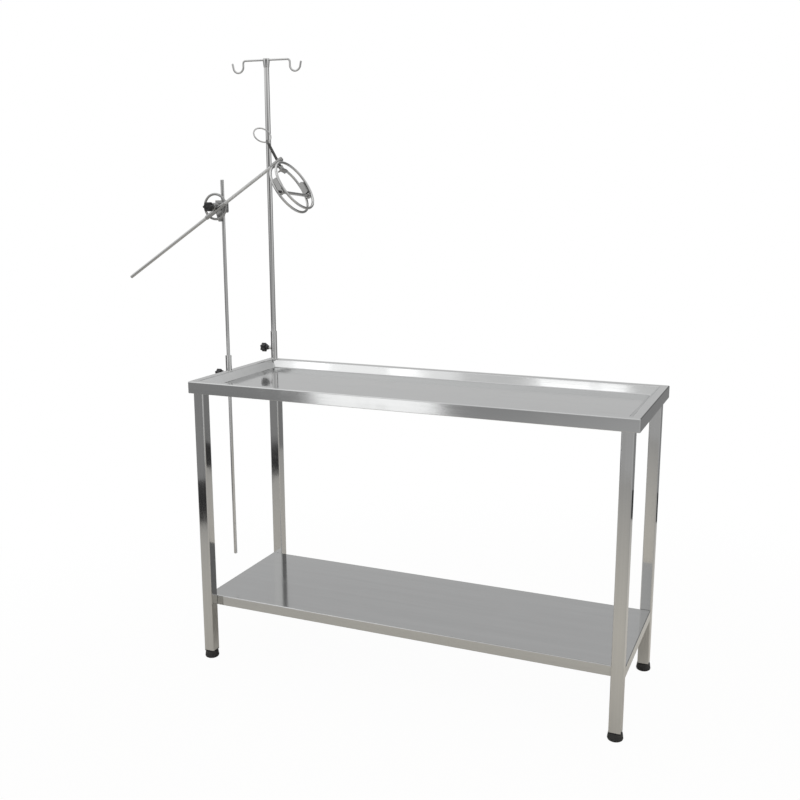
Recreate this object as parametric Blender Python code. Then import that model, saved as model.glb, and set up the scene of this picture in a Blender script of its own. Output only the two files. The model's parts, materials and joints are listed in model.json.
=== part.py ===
"""Stainless steel animal dissection table with an infusion pole and a head holder on a tilting arm.

Metres, +Z up. The table's length runs along X and its front faces -Y. The origin lies on the floor, under
the middle of the box around the whole object.
"""

import math

import bmesh
import bpy
from mathutils import Matrix, Vector

# Gap between pieces that touch, seat on each other or run in each other
CLEAR = 0.0003

# Table top, folded from one sheet
TABLE_LENGTH = 1.280
TABLE_WIDTH = 0.464
TABLE_HEIGHT = 0.849
SHEET = 0.0015
APRON_HEIGHT = 0.0345
APRON_RETURN = 0.005
RIM_FLAT = 0.0245
RIM_SLOPE = 0.022
BASIN_DEPTH = 0.022
FOLD_RADIUS = 0.003
SHEET_CORNER = 0.003

# Stiffening channels under the top and the shelf
CHANNEL_WIDTH = 0.040
CHANNEL_FLANGE = 0.014
TOP_CHANNEL_HEIGHT = 0.010
SHELF_CHANNEL_HEIGHT = 0.020
TOP_CHANNEL_SPACING = 0.190
SHELF_CHANNEL_SPACING = 0.170
CHANNEL_END_GAP = 0.010

# Legs, their top plates and end plugs
LEG_SIZE = 0.032
LEG_WALL = 0.0015
LEG_CORNER = 0.003
LEG_INSET_X = 0.014
LEG_INSET_Y = 0.0057
LEG_PLATE_LENGTH = 0.095
LEG_PLATE_WIDTH = 0.080
LEG_PLATE_THICKNESS = 0.003
PLUG_HEIGHT = 0.028
PLUG_FLANGE = 0.0025

# Levelling feet
PAD_RADIUS = 0.0207
PAD_TOP_RADIUS = 0.0187
PAD_HEIGHT = 0.0215
PAD_EDGE = 0.006
STEM_RADIUS = 0.005
STEM_HEIGHT = 0.042
STEM_SEAT = 0.009

# Lower shelf
SHELF_HEIGHT = 0.192
SHELF_LIP = 0.030
SHELF_END_INSET = 0.001

# Infusion pole at the back left corner
POLE_INSET_X = 0.027
POLE_INSET_Y = 0.019
POLE_RADIUS = 0.008
POLE_WALL = 0.0012
POLE_TOP = 1.754
POLE_DEPTH = 0.250
POLE_PLUG_FLANGE = 0.003
POLE_PLUG_DEPTH = 0.015
POLE_SOCKET_WALL = 0.0017
POLE_SOCKET_HEIGHT = 0.092
POLE_KNOB_HEIGHT = 0.0365
POLE_KNOB_REACH = 0.021
GUIDE_HEIGHT = 0.020

# Hook head on the pole
COLLAR_FOOT_RADIUS = 0.0088
COLLAR_TOP_RADIUS = 0.0105
COLLAR_HEIGHT = 0.027
COLLAR_SPIGOT = 0.020
HOOK_BAR_RADIUS = 0.003
HOOK_BAR_BELOW_TOP = 0.0048
HOOK_SPACING = 0.157
HOOK_BEND = 0.008
HOOK_RADIUS = 0.017
HOOK_DROP = 0.035
HOOK_TIP_RISE = 0.029
HOOK_TIP_LEAN = math.radians(12.0)
HOOK_TURN = math.radians(5.0)

# Upright rod at the left rim
ROD_INSET = 0.016
ROD_Y = -0.040
ROD_RADIUS = 0.005
ROD_TOP = 1.415
ROD_BOTTOM = 0.268
ROD_SOCKET_WALL = 0.0037
ROD_SOCKET_HEIGHT = 0.0485
ROD_SOCKET_DEPTH = 0.030
ROD_SCREW_DROP = 0.0095
ROD_KNOB_GAP = 0.0025

# Star knobs and their clamp screws
CLAMP_SCREW_RADIUS = 0.003
BOSS_RADIUS = 0.006
BOSS_LENGTH = 0.006
KNOB_RADIUS = 0.0145
KNOB_WAIST = 0.0028
KNOB_LOBES = 6
KNOB_THICKNESS = 0.016
KNOB_EDGE = 0.002
KNOB_HUB_RADIUS = 0.0072
KNOB_HUB_LENGTH = 0.008
KNOB_BORE_DEPTH = 0.016

# Cross clamp on the rod
PIVOT_HEIGHT = 1.338
JAW_WIDTH = 0.024
JAW_BACK = 0.012
JAW_FRONT = 0.0217
JAW_RISE = 0.018
JAW_PLATE = 0.012
JAW_WEDGE_DROP = 0.043
JAW_WEDGE_TIP = 0.007
PIVOT_RADIUS = 0.004
PIVOT_BOSS_RADIUS = 0.011
PIVOT_BOSS_LENGTH = 0.0355
WASHER_RADIUS = 0.009
WASHER_THICKNESS = 0.002
CLAMP_HOOP_RADIUS = 0.0355
CLAMP_HOOP_BAR = 0.0035

# Arm, which slides in its sleeve below the pivot
ARM_RADIUS = 0.00475
ARM_TILT = math.radians(32.65)
ARM_DROP = 0.0135
ARM_BACK = 0.370
ARM_FRONT = 0.243
ARM_FORWARD = 0.050
ARM_SLEEVE_WALL = 0.0014
ARM_SLEEVE_LENGTH = 0.078

# Head holder at the end of the arm
HEAD_ROLL = math.radians(-5.0)
RING_RADIUS = 0.0735
RING_BAR = 0.0035
RING_SCREW_GAP = 0.00125
RING_OFFSET = 0.0015
HEAD_BLOCK_WALL = 0.0016
HEAD_BLOCK_WEB = 0.0015
HEAD_BLOCK_BACK = 0.026
SIDE_BLOCK_GRIP = 0.00125
SIDE_BLOCK_DEPTH = 0.014
SIDE_BLOCK_HEIGHT = 0.036
SIDE_BLOCK_RISE = 0.003
BRACKET_DEPTH = 0.015
BRACKET_HEIGHT = 0.011
BITE_BAR_DROP = 0.0215
BITE_BAR_WIDTH = 0.008
BITE_BAR_THICKNESS = 0.006
BAR_SCREW_RADIUS = 0.00175
BAR_SCREW_GRIP = 0.010
BAR_SCREW_HEAD_RADIUS = 0.0036
BAR_SCREW_HEAD_LENGTH = 0.004

# Nose jaw, its screw and the wire loop that turns it
JAW_SCREW_RADIUS = 0.004
JAW_SCREW_RISE = 0.070
NOSE_HUB_RADIUS = 0.0065
NOSE_HUB_LENGTH = 0.012
NOSE_HUB_BORE = 0.008
NOSE_PLATE_RADIUS = 0.030
NOSE_PLATE_THICKNESS = 0.004
NOSE_PLATE_SPAN = 0.036
NOSE_PLATE_WIDTH = 0.014
NOSE_REST_GAP = 0.001
LOOP_WIRE = 0.002
LOOP_HEIGHT = 0.047
LOOP_WIDTH = 0.042
LOOP_LEAN = 0.2
LOOP_TURN = math.radians(45.0)
LOOP_BELOW_TOP = 0.005
LOOP_PLAY = 0.0008

# Facets
CORNER_STEPS = 2
SIDES_SMALL = 12
SIDES_ROUND = 16
SIDES_LARGE = 24
HOOP_STEPS = 40
BAR_SIDES = 8
BEND_STEPS = 4
LOBE_STEPS = 6
ARC_STEPS = 12
SMOOTH_ANGLE = math.radians(35.0)
MERGE = 1e-6

# Places that follow from the sizes above, from the middle of the table
BASIN_INSET = RIM_FLAT + RIM_SLOPE
FLOOR_UNDERSIDE = TABLE_HEIGHT - BASIN_DEPTH - SHEET
PLATE_TOP = FLOOR_UNDERSIDE - CLEAR
LEG_TOP = PLATE_TOP - LEG_PLATE_THICKNESS - CLEAR
LEG_BOTTOM = PAD_HEIGHT + PLUG_FLANGE + 2 * CLEAR
LEG_X = TABLE_LENGTH / 2 - LEG_INSET_X - LEG_SIZE / 2
LEG_Y = TABLE_WIDTH / 2 - LEG_INSET_Y - LEG_SIZE / 2
SHELF_LENGTH = TABLE_LENGTH - 2 * (LEG_INSET_X + SHELF_END_INSET)
SHELF_WIDTH = TABLE_WIDTH - 2 * (LEG_INSET_Y + LEG_SIZE + CLEAR)
POLE_X = -TABLE_LENGTH / 2 + POLE_INSET_X
POLE_Y = TABLE_WIDTH / 2 - POLE_INSET_Y
POLE_BOTTOM = TABLE_HEIGHT - POLE_DEPTH
POLE_SOCKET_RADIUS = POLE_RADIUS + CLEAR + POLE_SOCKET_WALL
ROD_X = -TABLE_LENGTH / 2 + ROD_INSET
ROD_SOCKET_RADIUS = ROD_RADIUS + CLEAR + ROD_SOCKET_WALL
ARM_SLEEVE_RADIUS = ARM_RADIUS + CLEAR + ARM_SLEEVE_WALL
CLAMP_HOOP_Y = -ARM_FORWARD + ARM_SLEEVE_RADIUS + CLEAR + CLAMP_HOOP_BAR
PIVOT_BOSS_BACK = -JAW_FRONT - CLEAR
PIVOT_BOSS_FRONT = PIVOT_BOSS_BACK - PIVOT_BOSS_LENGTH
ARM_SEAT = JAW_SCREW_RADIUS + CLEAR + HEAD_BLOCK_WEB
HEAD_PLACE = ARM_FRONT + CLEAR + ARM_SEAT
HEAD_BLOCK_RADIUS = ARM_RADIUS + CLEAR + HEAD_BLOCK_WALL
RING_SPACING = 2 * (RING_OFFSET + JAW_SCREW_RADIUS + RING_SCREW_GAP + RING_BAR)
RING_MIDDLE = -HEAD_BLOCK_RADIUS - CLEAR - RING_BAR - RING_RADIUS
HEAD_BLOCK_FRONT = RING_OFFSET + RING_SPACING / 2 + RING_BAR
SIDE_BLOCK_LENGTH = RING_SPACING - 2 * RING_BAR + 2 * SIDE_BLOCK_GRIP
BRACKET_Y = math.sqrt(RING_RADIUS ** 2 - BITE_BAR_DROP ** 2)
ARM_LEFT_END = (
    ROD_X
    - ARM_BACK * math.cos(ARM_TILT)
    + (ARM_DROP - ARM_RADIUS) * math.sin(ARM_TILT)
)
TABLE_X = -(ARM_LEFT_END + TABLE_LENGTH / 2) / 2

CORNERS = {
    "front_left": (-1, -1),
    "front_right": (1, -1),
    "back_left": (-1, 1),
    "back_right": (1, 1),
}

# Turns that point a piece made along +Z another way
ALONG_X = Matrix.Rotation(math.pi / 2, 4, "Y")
ALONG_MINUS_X = Matrix.Rotation(-math.pi / 2, 4, "Y")
ALONG_Y = Matrix.Rotation(-math.pi / 2, 4, "X")
ALONG_MINUS_Y = Matrix.Rotation(math.pi / 2, 4, "X")
# Turn that points an outline pushed up along +Z along +X, with its own x along +Y
OUTLINE_ALONG_X = Matrix(((0, 0, 1, 0), (1, 0, 0, 0), (0, 1, 0, 0), (0, 0, 0, 1)))


def make_finish(name, colour, roughness, metallic):
    """A plain Principled material."""
    finish = bpy.data.materials.new(name)
    finish.use_nodes = True
    shader = finish.node_tree.nodes["Principled BSDF"]
    shader.inputs["Base Color"].default_value = (*colour, 1.0)
    shader.inputs["Roughness"].default_value = roughness
    shader.inputs["Metallic"].default_value = metallic
    return finish


def make_frame(name, parent, location, rotation=(0.0, 0.0, 0.0)):
    """An empty that carries the pieces around one joint axis."""
    frame = bpy.data.objects.new(name, None)
    bpy.context.collection.objects.link(frame)
    frame.parent = parent
    frame.location = location
    frame.rotation_euler = rotation
    return frame


def make_piece(name, shape, finish, parent, location=(0.0, 0.0, 0.0), turn=None):
    """One named solid, from a bmesh or a mesh, placed under its frame."""
    mesh = as_mesh(shape)
    mesh.name = name
    mesh.materials.clear()
    mesh.materials.append(finish)
    mesh.shade_smooth()
    mesh.set_sharp_from_angle(angle=SMOOTH_ANGLE)
    piece = bpy.data.objects.new(name, mesh)
    bpy.context.collection.objects.link(piece)
    piece.parent = parent
    piece.location = location
    if turn is not None:
        piece.rotation_euler = turn.to_euler()
    return piece


def as_mesh(shape):
    """The mesh of a bmesh; a mesh is returned as it is."""
    if isinstance(shape, bpy.types.Mesh):
        return shape
    mesh = bpy.data.meshes.new("shape")
    shape.to_mesh(mesh)
    shape.free()
    return mesh


def moved(shape, offset=(0.0, 0.0, 0.0), turn=None):
    """The same bmesh, turned about the origin and then shifted."""
    matrix = Matrix.Translation(offset)
    if turn is not None:
        matrix = matrix @ turn
    bmesh.ops.transform(shape, matrix=matrix, verts=shape.verts)
    return shape


def boolean(shape, tool_shape, operation):
    """The mesh of one shape with another cut from it or joined to it."""
    target = bpy.data.objects.new("target", as_mesh(shape))
    tool = bpy.data.objects.new("tool", as_mesh(tool_shape))
    for item in (target, tool):
        bpy.context.collection.objects.link(item)
    modifier = target.modifiers.new("boolean", "BOOLEAN")
    modifier.operation = operation
    modifier.object = tool
    bpy.context.view_layer.update()
    depsgraph = bpy.context.evaluated_depsgraph_get()
    result = bpy.data.meshes.new_from_object(target.evaluated_get(depsgraph))
    for item in (target, tool):
        bpy.data.objects.remove(item)
    return result


def cut(shape, *tools):
    """The shape with each tool cut away in turn."""
    for tool in tools:
        shape = boolean(shape, tool, "DIFFERENCE")
    return shape


def join(shape, *additions):
    """The shape with each addition fused on in turn."""
    for addition in additions:
        shape = boolean(shape, addition, "UNION")
    return shape


def turned(profile, sides, closed=False):
    """A turned solid about Z from (radius, height) points; a closed profile makes a ring."""
    shape = bmesh.new()
    points = [shape.verts.new((radius, 0.0, height)) for radius, height in profile]
    edges = [shape.edges.new(pair) for pair in zip(points, points[1:])]
    if closed:
        edges.append(shape.edges.new((points[-1], points[0])))
    bmesh.ops.spin(
        shape, geom=points + edges, axis=(0.0, 0.0, 1.0), angle=math.tau, steps=sides, use_merge=True
    )
    bmesh.ops.remove_doubles(shape, verts=shape.verts, dist=MERGE)
    bmesh.ops.recalc_face_normals(shape, faces=shape.faces)
    return shape


def cylinder(radius, low, high, sides=SIDES_ROUND):
    """A round bar along Z."""
    return turned([(0.0, low), (radius, low), (radius, high), (0.0, high)], sides)


def tube(outer, inner, low, high, sides=SIDES_ROUND):
    """A round tube along Z, open at both ends."""
    return turned([(inner, low), (outer, low), (outer, high), (inner, high)], sides, closed=True)


def ring(radius, bar, steps=HOOP_STEPS, sides=BAR_SIDES):
    """A closed hoop of round bar about Z."""
    angles = [math.tau * side / sides for side in range(sides)]
    profile = [(radius + bar * math.cos(a), bar * math.sin(a)) for a in angles]
    return turned(profile, steps, closed=True)


def extruded(outline, length):
    """An outline of (x, y) points, pushed up along Z."""
    shape = bmesh.new()
    face = shape.faces.new([shape.verts.new((x, y, 0.0)) for x, y in outline])
    grown = bmesh.ops.extrude_face_region(shape, geom=[face])["geom"]
    tops = [item for item in grown if isinstance(item, bmesh.types.BMVert)]
    bmesh.ops.translate(shape, vec=(0.0, 0.0, length), verts=tops)
    bmesh.ops.recalc_face_normals(shape, faces=shape.faces)
    return shape


def box(length, width, height, centre=(0.0, 0.0, 0.0)):
    """A rectangular block about its centre."""
    shape = bmesh.new()
    bmesh.ops.create_cube(shape, size=1.0, matrix=Matrix.Diagonal((length, width, height, 1.0)))
    return moved(shape, centre)


def loft(loops, ring_shaped=False):
    """A skin over loops of points; the ends are capped, or joined where it is ring shaped."""
    shape = bmesh.new()
    rows = [[shape.verts.new(point) for point in loop] for loop in loops]
    pairs = list(zip(rows, rows[1:]))
    if ring_shaped:
        pairs.append((rows[-1], rows[0]))
    else:
        shape.faces.new(rows[0])
        shape.faces.new(rows[-1])
    for low, high in pairs:
        for here, (a, b) in enumerate(zip(low, high)):
            after = (here + 1) % len(low)
            shape.faces.new((a, low[after], high[after], b))
    bmesh.ops.recalc_face_normals(shape, faces=shape.faces)
    return shape


def swept(path, bar, binormal, sides=BAR_SIDES, closed=False):
    """A round bar along a path that lies in one plane."""
    loops = []
    for here, point in enumerate(path):
        before = path[here - 1] if here or closed else point
        after = path[(here + 1) % len(path)] if here + 1 < len(path) or closed else point
        across = binormal.cross((after - before).normalized())
        angles = [math.tau * side / sides for side in range(sides)]
        loops.append([point + bar * (across * math.cos(a) + binormal * math.sin(a)) for a in angles])
    return loft(loops, ring_shaped=closed)


def rounded_rectangle(length, width, corner, height):
    """The points of a rectangle with round corners, at one height."""
    points = []
    for quarter, (sign_x, sign_y) in enumerate(((1, 1), (-1, 1), (-1, -1), (1, -1))):
        for step in range(CORNER_STEPS + 1):
            angle = (quarter + step / CORNER_STEPS) * math.pi / 2
            x = sign_x * (length / 2 - corner) + corner * math.cos(angle)
            y = sign_y * (width / 2 - corner) + corner * math.sin(angle)
            points.append(Vector((x, y, height)))
    return points


def channel(length, height):
    """A hat-shaped stiffener along X, whose flanges lie at the top, z = 0."""
    half = CHANNEL_WIDTH / 2
    crown = half - CHANNEL_FLANGE
    outline = [
        (half, 0.0),
        (crown, 0.0),
        (crown, SHEET - height),
        (-crown, SHEET - height),
        (-crown, 0.0),
        (-half, 0.0),
        (-half, -SHEET),
        (-crown - SHEET, -SHEET),
        (-crown - SHEET, -height),
        (crown + SHEET, -height),
        (crown + SHEET, -SHEET),
        (half, -SHEET),
    ]
    return moved(extruded(outline, length), (-length / 2, 0.0, 0.0), OUTLINE_ALONG_X)


def make_table_top(steel, table):
    """The top sheet: floor, slope, rim, apron and return, with holes for the sockets and the rod's screw."""
    bend = SHEET * math.tan(math.atan2(BASIN_DEPTH, RIM_SLOPE) / 2)
    floor = TABLE_HEIGHT - BASIN_DEPTH
    apron_foot = TABLE_HEIGHT - APRON_HEIGHT
    fold = FOLD_RADIUS * (1 - math.sqrt(0.5))
    stations = [
        (BASIN_INSET, floor),
        (RIM_FLAT, TABLE_HEIGHT),
        (FOLD_RADIUS, TABLE_HEIGHT),
        (fold, TABLE_HEIGHT - fold),
        (0.0, TABLE_HEIGHT - FOLD_RADIUS),
        (0.0, apron_foot),
        (APRON_RETURN, apron_foot),
        (APRON_RETURN, apron_foot + SHEET),
        (SHEET, apron_foot + SHEET),
        (SHEET, TABLE_HEIGHT - FOLD_RADIUS),
        (FOLD_RADIUS, TABLE_HEIGHT - SHEET),
        (RIM_FLAT - bend, TABLE_HEIGHT - SHEET),
        (BASIN_INSET - bend, FLOOR_UNDERSIDE),
    ]
    loops = [
        rounded_rectangle(TABLE_LENGTH - 2 * inset, TABLE_WIDTH - 2 * inset, SHEET_CORNER, height)
        for inset, height in stations
    ]
    holes = [
        (POLE_SOCKET_RADIUS, POLE_X, POLE_Y),
        (ROD_SOCKET_RADIUS, ROD_X, ROD_Y),
    ]
    drills = [
        moved(cylinder(radius + CLEAR, FLOOR_UNDERSIDE, TABLE_HEIGHT + SHEET, SIDES_LARGE), (x, y, 0.0))
        for radius, x, y in holes
    ]
    screw_drill = cylinder(CLAMP_SCREW_RADIUS + CLEAR, 0.0, 2 * ROD_INSET, SIDES_SMALL)
    drills.append(moved(screw_drill, (ROD_X, ROD_Y, TABLE_HEIGHT - ROD_SCREW_DROP), ALONG_MINUS_X))
    make_piece("table_top", cut(loft(loops), *drills), steel, table)


def make_channels(steel, table):
    """The stiffeners under the basin floor and under the shelf."""
    top_length = TABLE_LENGTH - 2 * (BASIN_INSET + CHANNEL_END_GAP)
    shelf_length = SHELF_LENGTH - 2 * (SHEET + CHANNEL_END_GAP)
    shelf_underside = SHELF_HEIGHT - SHEET - CLEAR
    for side, sign in (("front", -1), ("back", 1)):
        top_place = (0.0, sign * TOP_CHANNEL_SPACING / 2, PLATE_TOP)
        make_piece(f"top_channel_{side}", channel(top_length, TOP_CHANNEL_HEIGHT), steel, table, top_place)
        shelf_place = (0.0, sign * SHELF_CHANNEL_SPACING / 2, shelf_underside)
        shape = channel(shelf_length, SHELF_CHANNEL_HEIGHT)
        make_piece(f"shelf_channel_{side}", shape, steel, table, shelf_place)


def make_shelf(steel, table):
    """The lower shelf, a tray turned upside down between the legs."""
    foot = SHELF_HEIGHT - SHELF_LIP
    stations = [
        (0.0, SHELF_HEIGHT),
        (0.0, foot),
        (SHEET, foot),
        (SHEET, SHELF_HEIGHT - SHEET),
    ]
    loops = [
        rounded_rectangle(SHELF_LENGTH - 2 * inset, SHELF_WIDTH - 2 * inset, SHEET_CORNER, height)
        for inset, height in stations
    ]
    make_piece("lower_shelf", loft(loops), steel, table)


def make_legs(steel, plastic, table):
    """Each leg with its top plate, end plug, foot pad and threaded stem."""
    inner = LEG_SIZE - 2 * LEG_WALL
    inner_corner = LEG_CORNER - LEG_WALL
    plate_length = LEG_PLATE_LENGTH - SHEET - CLEAR
    plate_width = LEG_PLATE_WIDTH - SHEET - CLEAR
    plate_x = TABLE_LENGTH / 2 - SHEET - CLEAR - plate_length / 2
    plate_y = TABLE_WIDTH / 2 - SHEET - CLEAR - plate_width / 2
    for corner, (sign_x, sign_y) in CORNERS.items():
        place = (sign_x * LEG_X, sign_y * LEG_Y, 0.0)
        walls = [
            rounded_rectangle(LEG_SIZE, LEG_SIZE, LEG_CORNER, LEG_BOTTOM),
            rounded_rectangle(LEG_SIZE, LEG_SIZE, LEG_CORNER, LEG_TOP),
            rounded_rectangle(inner, inner, inner_corner, LEG_TOP),
            rounded_rectangle(inner, inner, inner_corner, LEG_BOTTOM),
        ]
        make_piece(f"leg_{corner}", loft(walls, ring_shaped=True), steel, table, place)
        plate_place = (sign_x * plate_x, sign_y * plate_y, PLATE_TOP - LEG_PLATE_THICKNESS / 2)
        plate = loft([
            rounded_rectangle(plate_length, plate_width, SHEET_CORNER, height)
            for height in (-LEG_PLATE_THICKNESS / 2, LEG_PLATE_THICKNESS / 2)
        ])
        if corner == "back_left":
            hole = cylinder(POLE_RADIUS + CLEAR, -LEG_PLATE_THICKNESS, LEG_PLATE_THICKNESS, SIDES_LARGE)
            plate = cut(plate, moved(hole, (POLE_X - plate_place[0], POLE_Y - plate_place[1], 0.0)))
        make_piece(f"leg_plate_{corner}", plate, steel, table, plate_place)
        make_foot(corner, inner - 2 * CLEAR, steel, plastic, table, place)


def make_foot(corner, plug_size, steel, plastic, table, place):
    """The plug in a leg's end, and the pad and stem that screw out of it."""
    plug_foot = PAD_HEIGHT + CLEAR
    flange_top = plug_foot + PLUG_FLANGE
    plug = loft([
        rounded_rectangle(LEG_SIZE, LEG_SIZE, LEG_CORNER, plug_foot),
        rounded_rectangle(LEG_SIZE, LEG_SIZE, LEG_CORNER, flange_top),
        rounded_rectangle(plug_size, plug_size, LEG_CORNER - LEG_WALL, flange_top),
        rounded_rectangle(plug_size, plug_size, LEG_CORNER - LEG_WALL, plug_foot + PLUG_HEIGHT),
    ])
    bore = cylinder(STEM_RADIUS + CLEAR, 0.0, 2 * (plug_foot + PLUG_HEIGHT), SIDES_SMALL)
    make_piece(f"leg_plug_{corner}", cut(plug, bore), plastic, table, place)
    rounding = PAD_EDGE * (1 - math.sqrt(0.5))
    seat = PAD_HEIGHT - STEM_SEAT
    profile = [
        (0.0, 0.0),
        (PAD_RADIUS - PAD_EDGE, 0.0),
        (PAD_RADIUS - rounding, rounding),
        (PAD_RADIUS, PAD_EDGE),
        (PAD_TOP_RADIUS, PAD_HEIGHT),
        (STEM_RADIUS + CLEAR, PAD_HEIGHT),
        (STEM_RADIUS + CLEAR, seat),
        (0.0, seat),
    ]
    make_piece(f"foot_pad_{corner}", turned(profile, SIDES_LARGE), plastic, table, place)
    stem = cylinder(STEM_RADIUS, seat + CLEAR, seat + STEM_HEIGHT, SIDES_SMALL)
    make_piece(f"foot_stem_{corner}", stem, steel, table, place)


def star_knob(bore):
    """A star knob along +Z: its hub starts at z = 0 and holds the screw in a blind bore."""
    count = KNOB_LOBES * LOBE_STEPS
    top = KNOB_HUB_LENGTH + KNOB_THICKNESS
    loops = []
    for height, shrink in (
        (KNOB_HUB_LENGTH, KNOB_EDGE),
        (KNOB_HUB_LENGTH + KNOB_EDGE, 0.0),
        (top - KNOB_EDGE, 0.0),
        (top, KNOB_EDGE),
    ):
        loop = []
        for step in range(count):
            angle = math.tau * step / count
            dip = KNOB_WAIST * (0.5 - 0.5 * math.cos(KNOB_LOBES * angle))
            radius = KNOB_RADIUS - dip - shrink
            loop.append(Vector((radius * math.cos(angle), radius * math.sin(angle), height)))
        loops.append(loop)
    hub = cylinder(KNOB_HUB_RADIUS, 0.0, KNOB_HUB_LENGTH + KNOB_EDGE)
    hole = cylinder(bore, -KNOB_EDGE, KNOB_BORE_DEPTH, SIDES_SMALL)
    return cut(join(loft(loops), hub), hole)


def socket_boss(socket_radius, boss_end):
    """The threaded boss along +Z that sits on the side of a socket of this radius."""
    boss = tube(BOSS_RADIUS, CLAMP_SCREW_RADIUS + CLEAR, 0.0, boss_end, SIDES_SMALL)
    saddle = moved(cylinder(socket_radius + CLEAR, -BOSS_RADIUS * 2, BOSS_RADIUS * 2), turn=ALONG_X)
    return cut(boss, saddle)


def make_socket_clamp(name, bar_radius, socket_radius, boss_end, reach, steel, plastic, axis_frame, height):
    """The boss, screw and star knob that clamp a bar in its socket, pointing left."""
    place = (0.0, 0.0, height)
    turn = ALONG_MINUS_X
    make_piece(f"{name}_socket_boss", socket_boss(socket_radius, boss_end), steel, axis_frame, place, turn)
    screw_end = reach + KNOB_BORE_DEPTH - CLEAR
    screw = cylinder(CLAMP_SCREW_RADIUS, bar_radius + CLEAR, screw_end, SIDES_SMALL)
    make_piece(f"{name}_clamp_screw", screw, steel, axis_frame, place, turn)
    knob = star_knob(CLAMP_SCREW_RADIUS + CLEAR)
    make_piece(f"{name}_knob", knob, plastic, axis_frame, (-reach, 0.0, height), turn)


def socket(bar_radius, socket_radius, low, high, screw_height):
    """A socket sleeve about Z with a hole on its left for the clamp screw."""
    sleeve = tube(socket_radius, bar_radius + CLEAR, low, high)
    hole = cylinder(CLAMP_SCREW_RADIUS + CLEAR, 0.0, 2 * socket_radius, SIDES_SMALL)
    return cut(sleeve, moved(hole, (0.0, 0.0, screw_height), ALONG_MINUS_X))


def make_pole(steel, plastic, pole_axis):
    """The infusion pole with its socket, guide bush, end plug and clamp."""
    knob_height = TABLE_HEIGHT + POLE_KNOB_HEIGHT
    sleeve = socket(
        POLE_RADIUS, POLE_SOCKET_RADIUS, PLATE_TOP + CLEAR, TABLE_HEIGHT + POLE_SOCKET_HEIGHT, knob_height
    )
    make_piece("pole_socket", sleeve, steel, pole_axis)
    make_socket_clamp(
        "pole",
        POLE_RADIUS,
        POLE_SOCKET_RADIUS,
        POLE_SOCKET_RADIUS + BOSS_LENGTH,
        POLE_KNOB_REACH,
        steel,
        plastic,
        pole_axis,
        knob_height,
    )
    bush_size = LEG_SIZE - 2 * (LEG_WALL + CLEAR)
    bush_corner = LEG_CORNER - LEG_WALL
    bush = loft([
        rounded_rectangle(bush_size, bush_size, bush_corner, LEG_TOP - GUIDE_HEIGHT),
        rounded_rectangle(bush_size, bush_size, bush_corner, LEG_TOP),
    ])
    bush = moved(bush, (-LEG_X - POLE_X, LEG_Y - POLE_Y, 0.0))
    bush_bore = cylinder(POLE_RADIUS + CLEAR, LEG_TOP - 2 * GUIDE_HEIGHT, LEG_TOP + GUIDE_HEIGHT)
    make_piece("pole_guide_bush", cut(bush, bush_bore), plastic, pole_axis)
    inner = POLE_RADIUS - POLE_WALL
    make_piece("infusion_pole", tube(POLE_RADIUS, inner, POLE_BOTTOM, POLE_TOP), steel, pole_axis)
    plug = turned([
        (0.0, POLE_BOTTOM - CLEAR - POLE_PLUG_FLANGE),
        (POLE_RADIUS, POLE_BOTTOM - CLEAR - POLE_PLUG_FLANGE),
        (POLE_RADIUS, POLE_BOTTOM - CLEAR),
        (inner - CLEAR, POLE_BOTTOM - CLEAR),
        (inner - CLEAR, POLE_BOTTOM + POLE_PLUG_DEPTH),
        (0.0, POLE_BOTTOM + POLE_PLUG_DEPTH),
    ], SIDES_ROUND)
    make_piece("pole_end_plug", plug, plastic, pole_axis)


def arc(centre, radius, start, end, steps=BEND_STEPS):
    """Points of an arc in the XZ plane, from one angle to another."""
    points = []
    for step in range(steps + 1):
        angle = start + (end - start) * step / steps
        points.append(centre + radius * Vector((math.cos(angle), 0.0, math.sin(angle))))
    return points


def hook_path():
    """The hook bar's centre line in its own XZ plane: straight, bent down, and up again at each end."""
    half = HOOK_SPACING / 2
    bend_centre = Vector((half - HOOK_BEND, 0.0, -HOOK_BEND))
    hook_centre = Vector((half + HOOK_RADIUS, 0.0, HOOK_RADIUS - HOOK_DROP))
    right = arc(bend_centre, HOOK_BEND, math.pi / 2, 0.0)
    right += arc(hook_centre, HOOK_RADIUS, math.pi, math.tau - HOOK_TIP_LEAN, 2 * BEND_STEPS)
    tip_height = HOOK_TIP_RISE - HOOK_DROP
    lean = (tip_height - right[-1].z) * math.tan(HOOK_TIP_LEAN)
    right.append(Vector((right[-1].x + lean, 0.0, tip_height)))
    left = [Vector((-point.x, 0.0, point.z)) for point in reversed(right)]
    return left + right


def make_hook_head(steel, hook_frame):
    """The collar on the pole's top and the bar bent into two hooks that passes through it."""
    spigot = POLE_RADIUS - POLE_WALL - CLEAR
    collar = turned([
        (0.0, POLE_TOP - COLLAR_SPIGOT),
        (spigot, POLE_TOP - COLLAR_SPIGOT),
        (spigot, POLE_TOP + CLEAR),
        (COLLAR_FOOT_RADIUS, POLE_TOP + CLEAR),
        (COLLAR_TOP_RADIUS, POLE_TOP + COLLAR_HEIGHT - HOOK_BAR_BELOW_TOP),
        (COLLAR_TOP_RADIUS, POLE_TOP + COLLAR_HEIGHT),
        (0.0, POLE_TOP + COLLAR_HEIGHT),
    ], SIDES_ROUND)
    bar_height = POLE_TOP + COLLAR_HEIGHT - HOOK_BAR_BELOW_TOP
    hole = cylinder(HOOK_BAR_RADIUS + CLEAR, -2 * COLLAR_TOP_RADIUS, 2 * COLLAR_TOP_RADIUS, BAR_SIDES)
    collar = cut(collar, moved(hole, (0.0, 0.0, bar_height), ALONG_X))
    make_piece("hook_collar", collar, steel, hook_frame)
    bar = swept(hook_path(), HOOK_BAR_RADIUS, Vector((0.0, 1.0, 0.0)))
    make_piece("hook_bar", bar, steel, hook_frame, (0.0, 0.0, bar_height))


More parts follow.
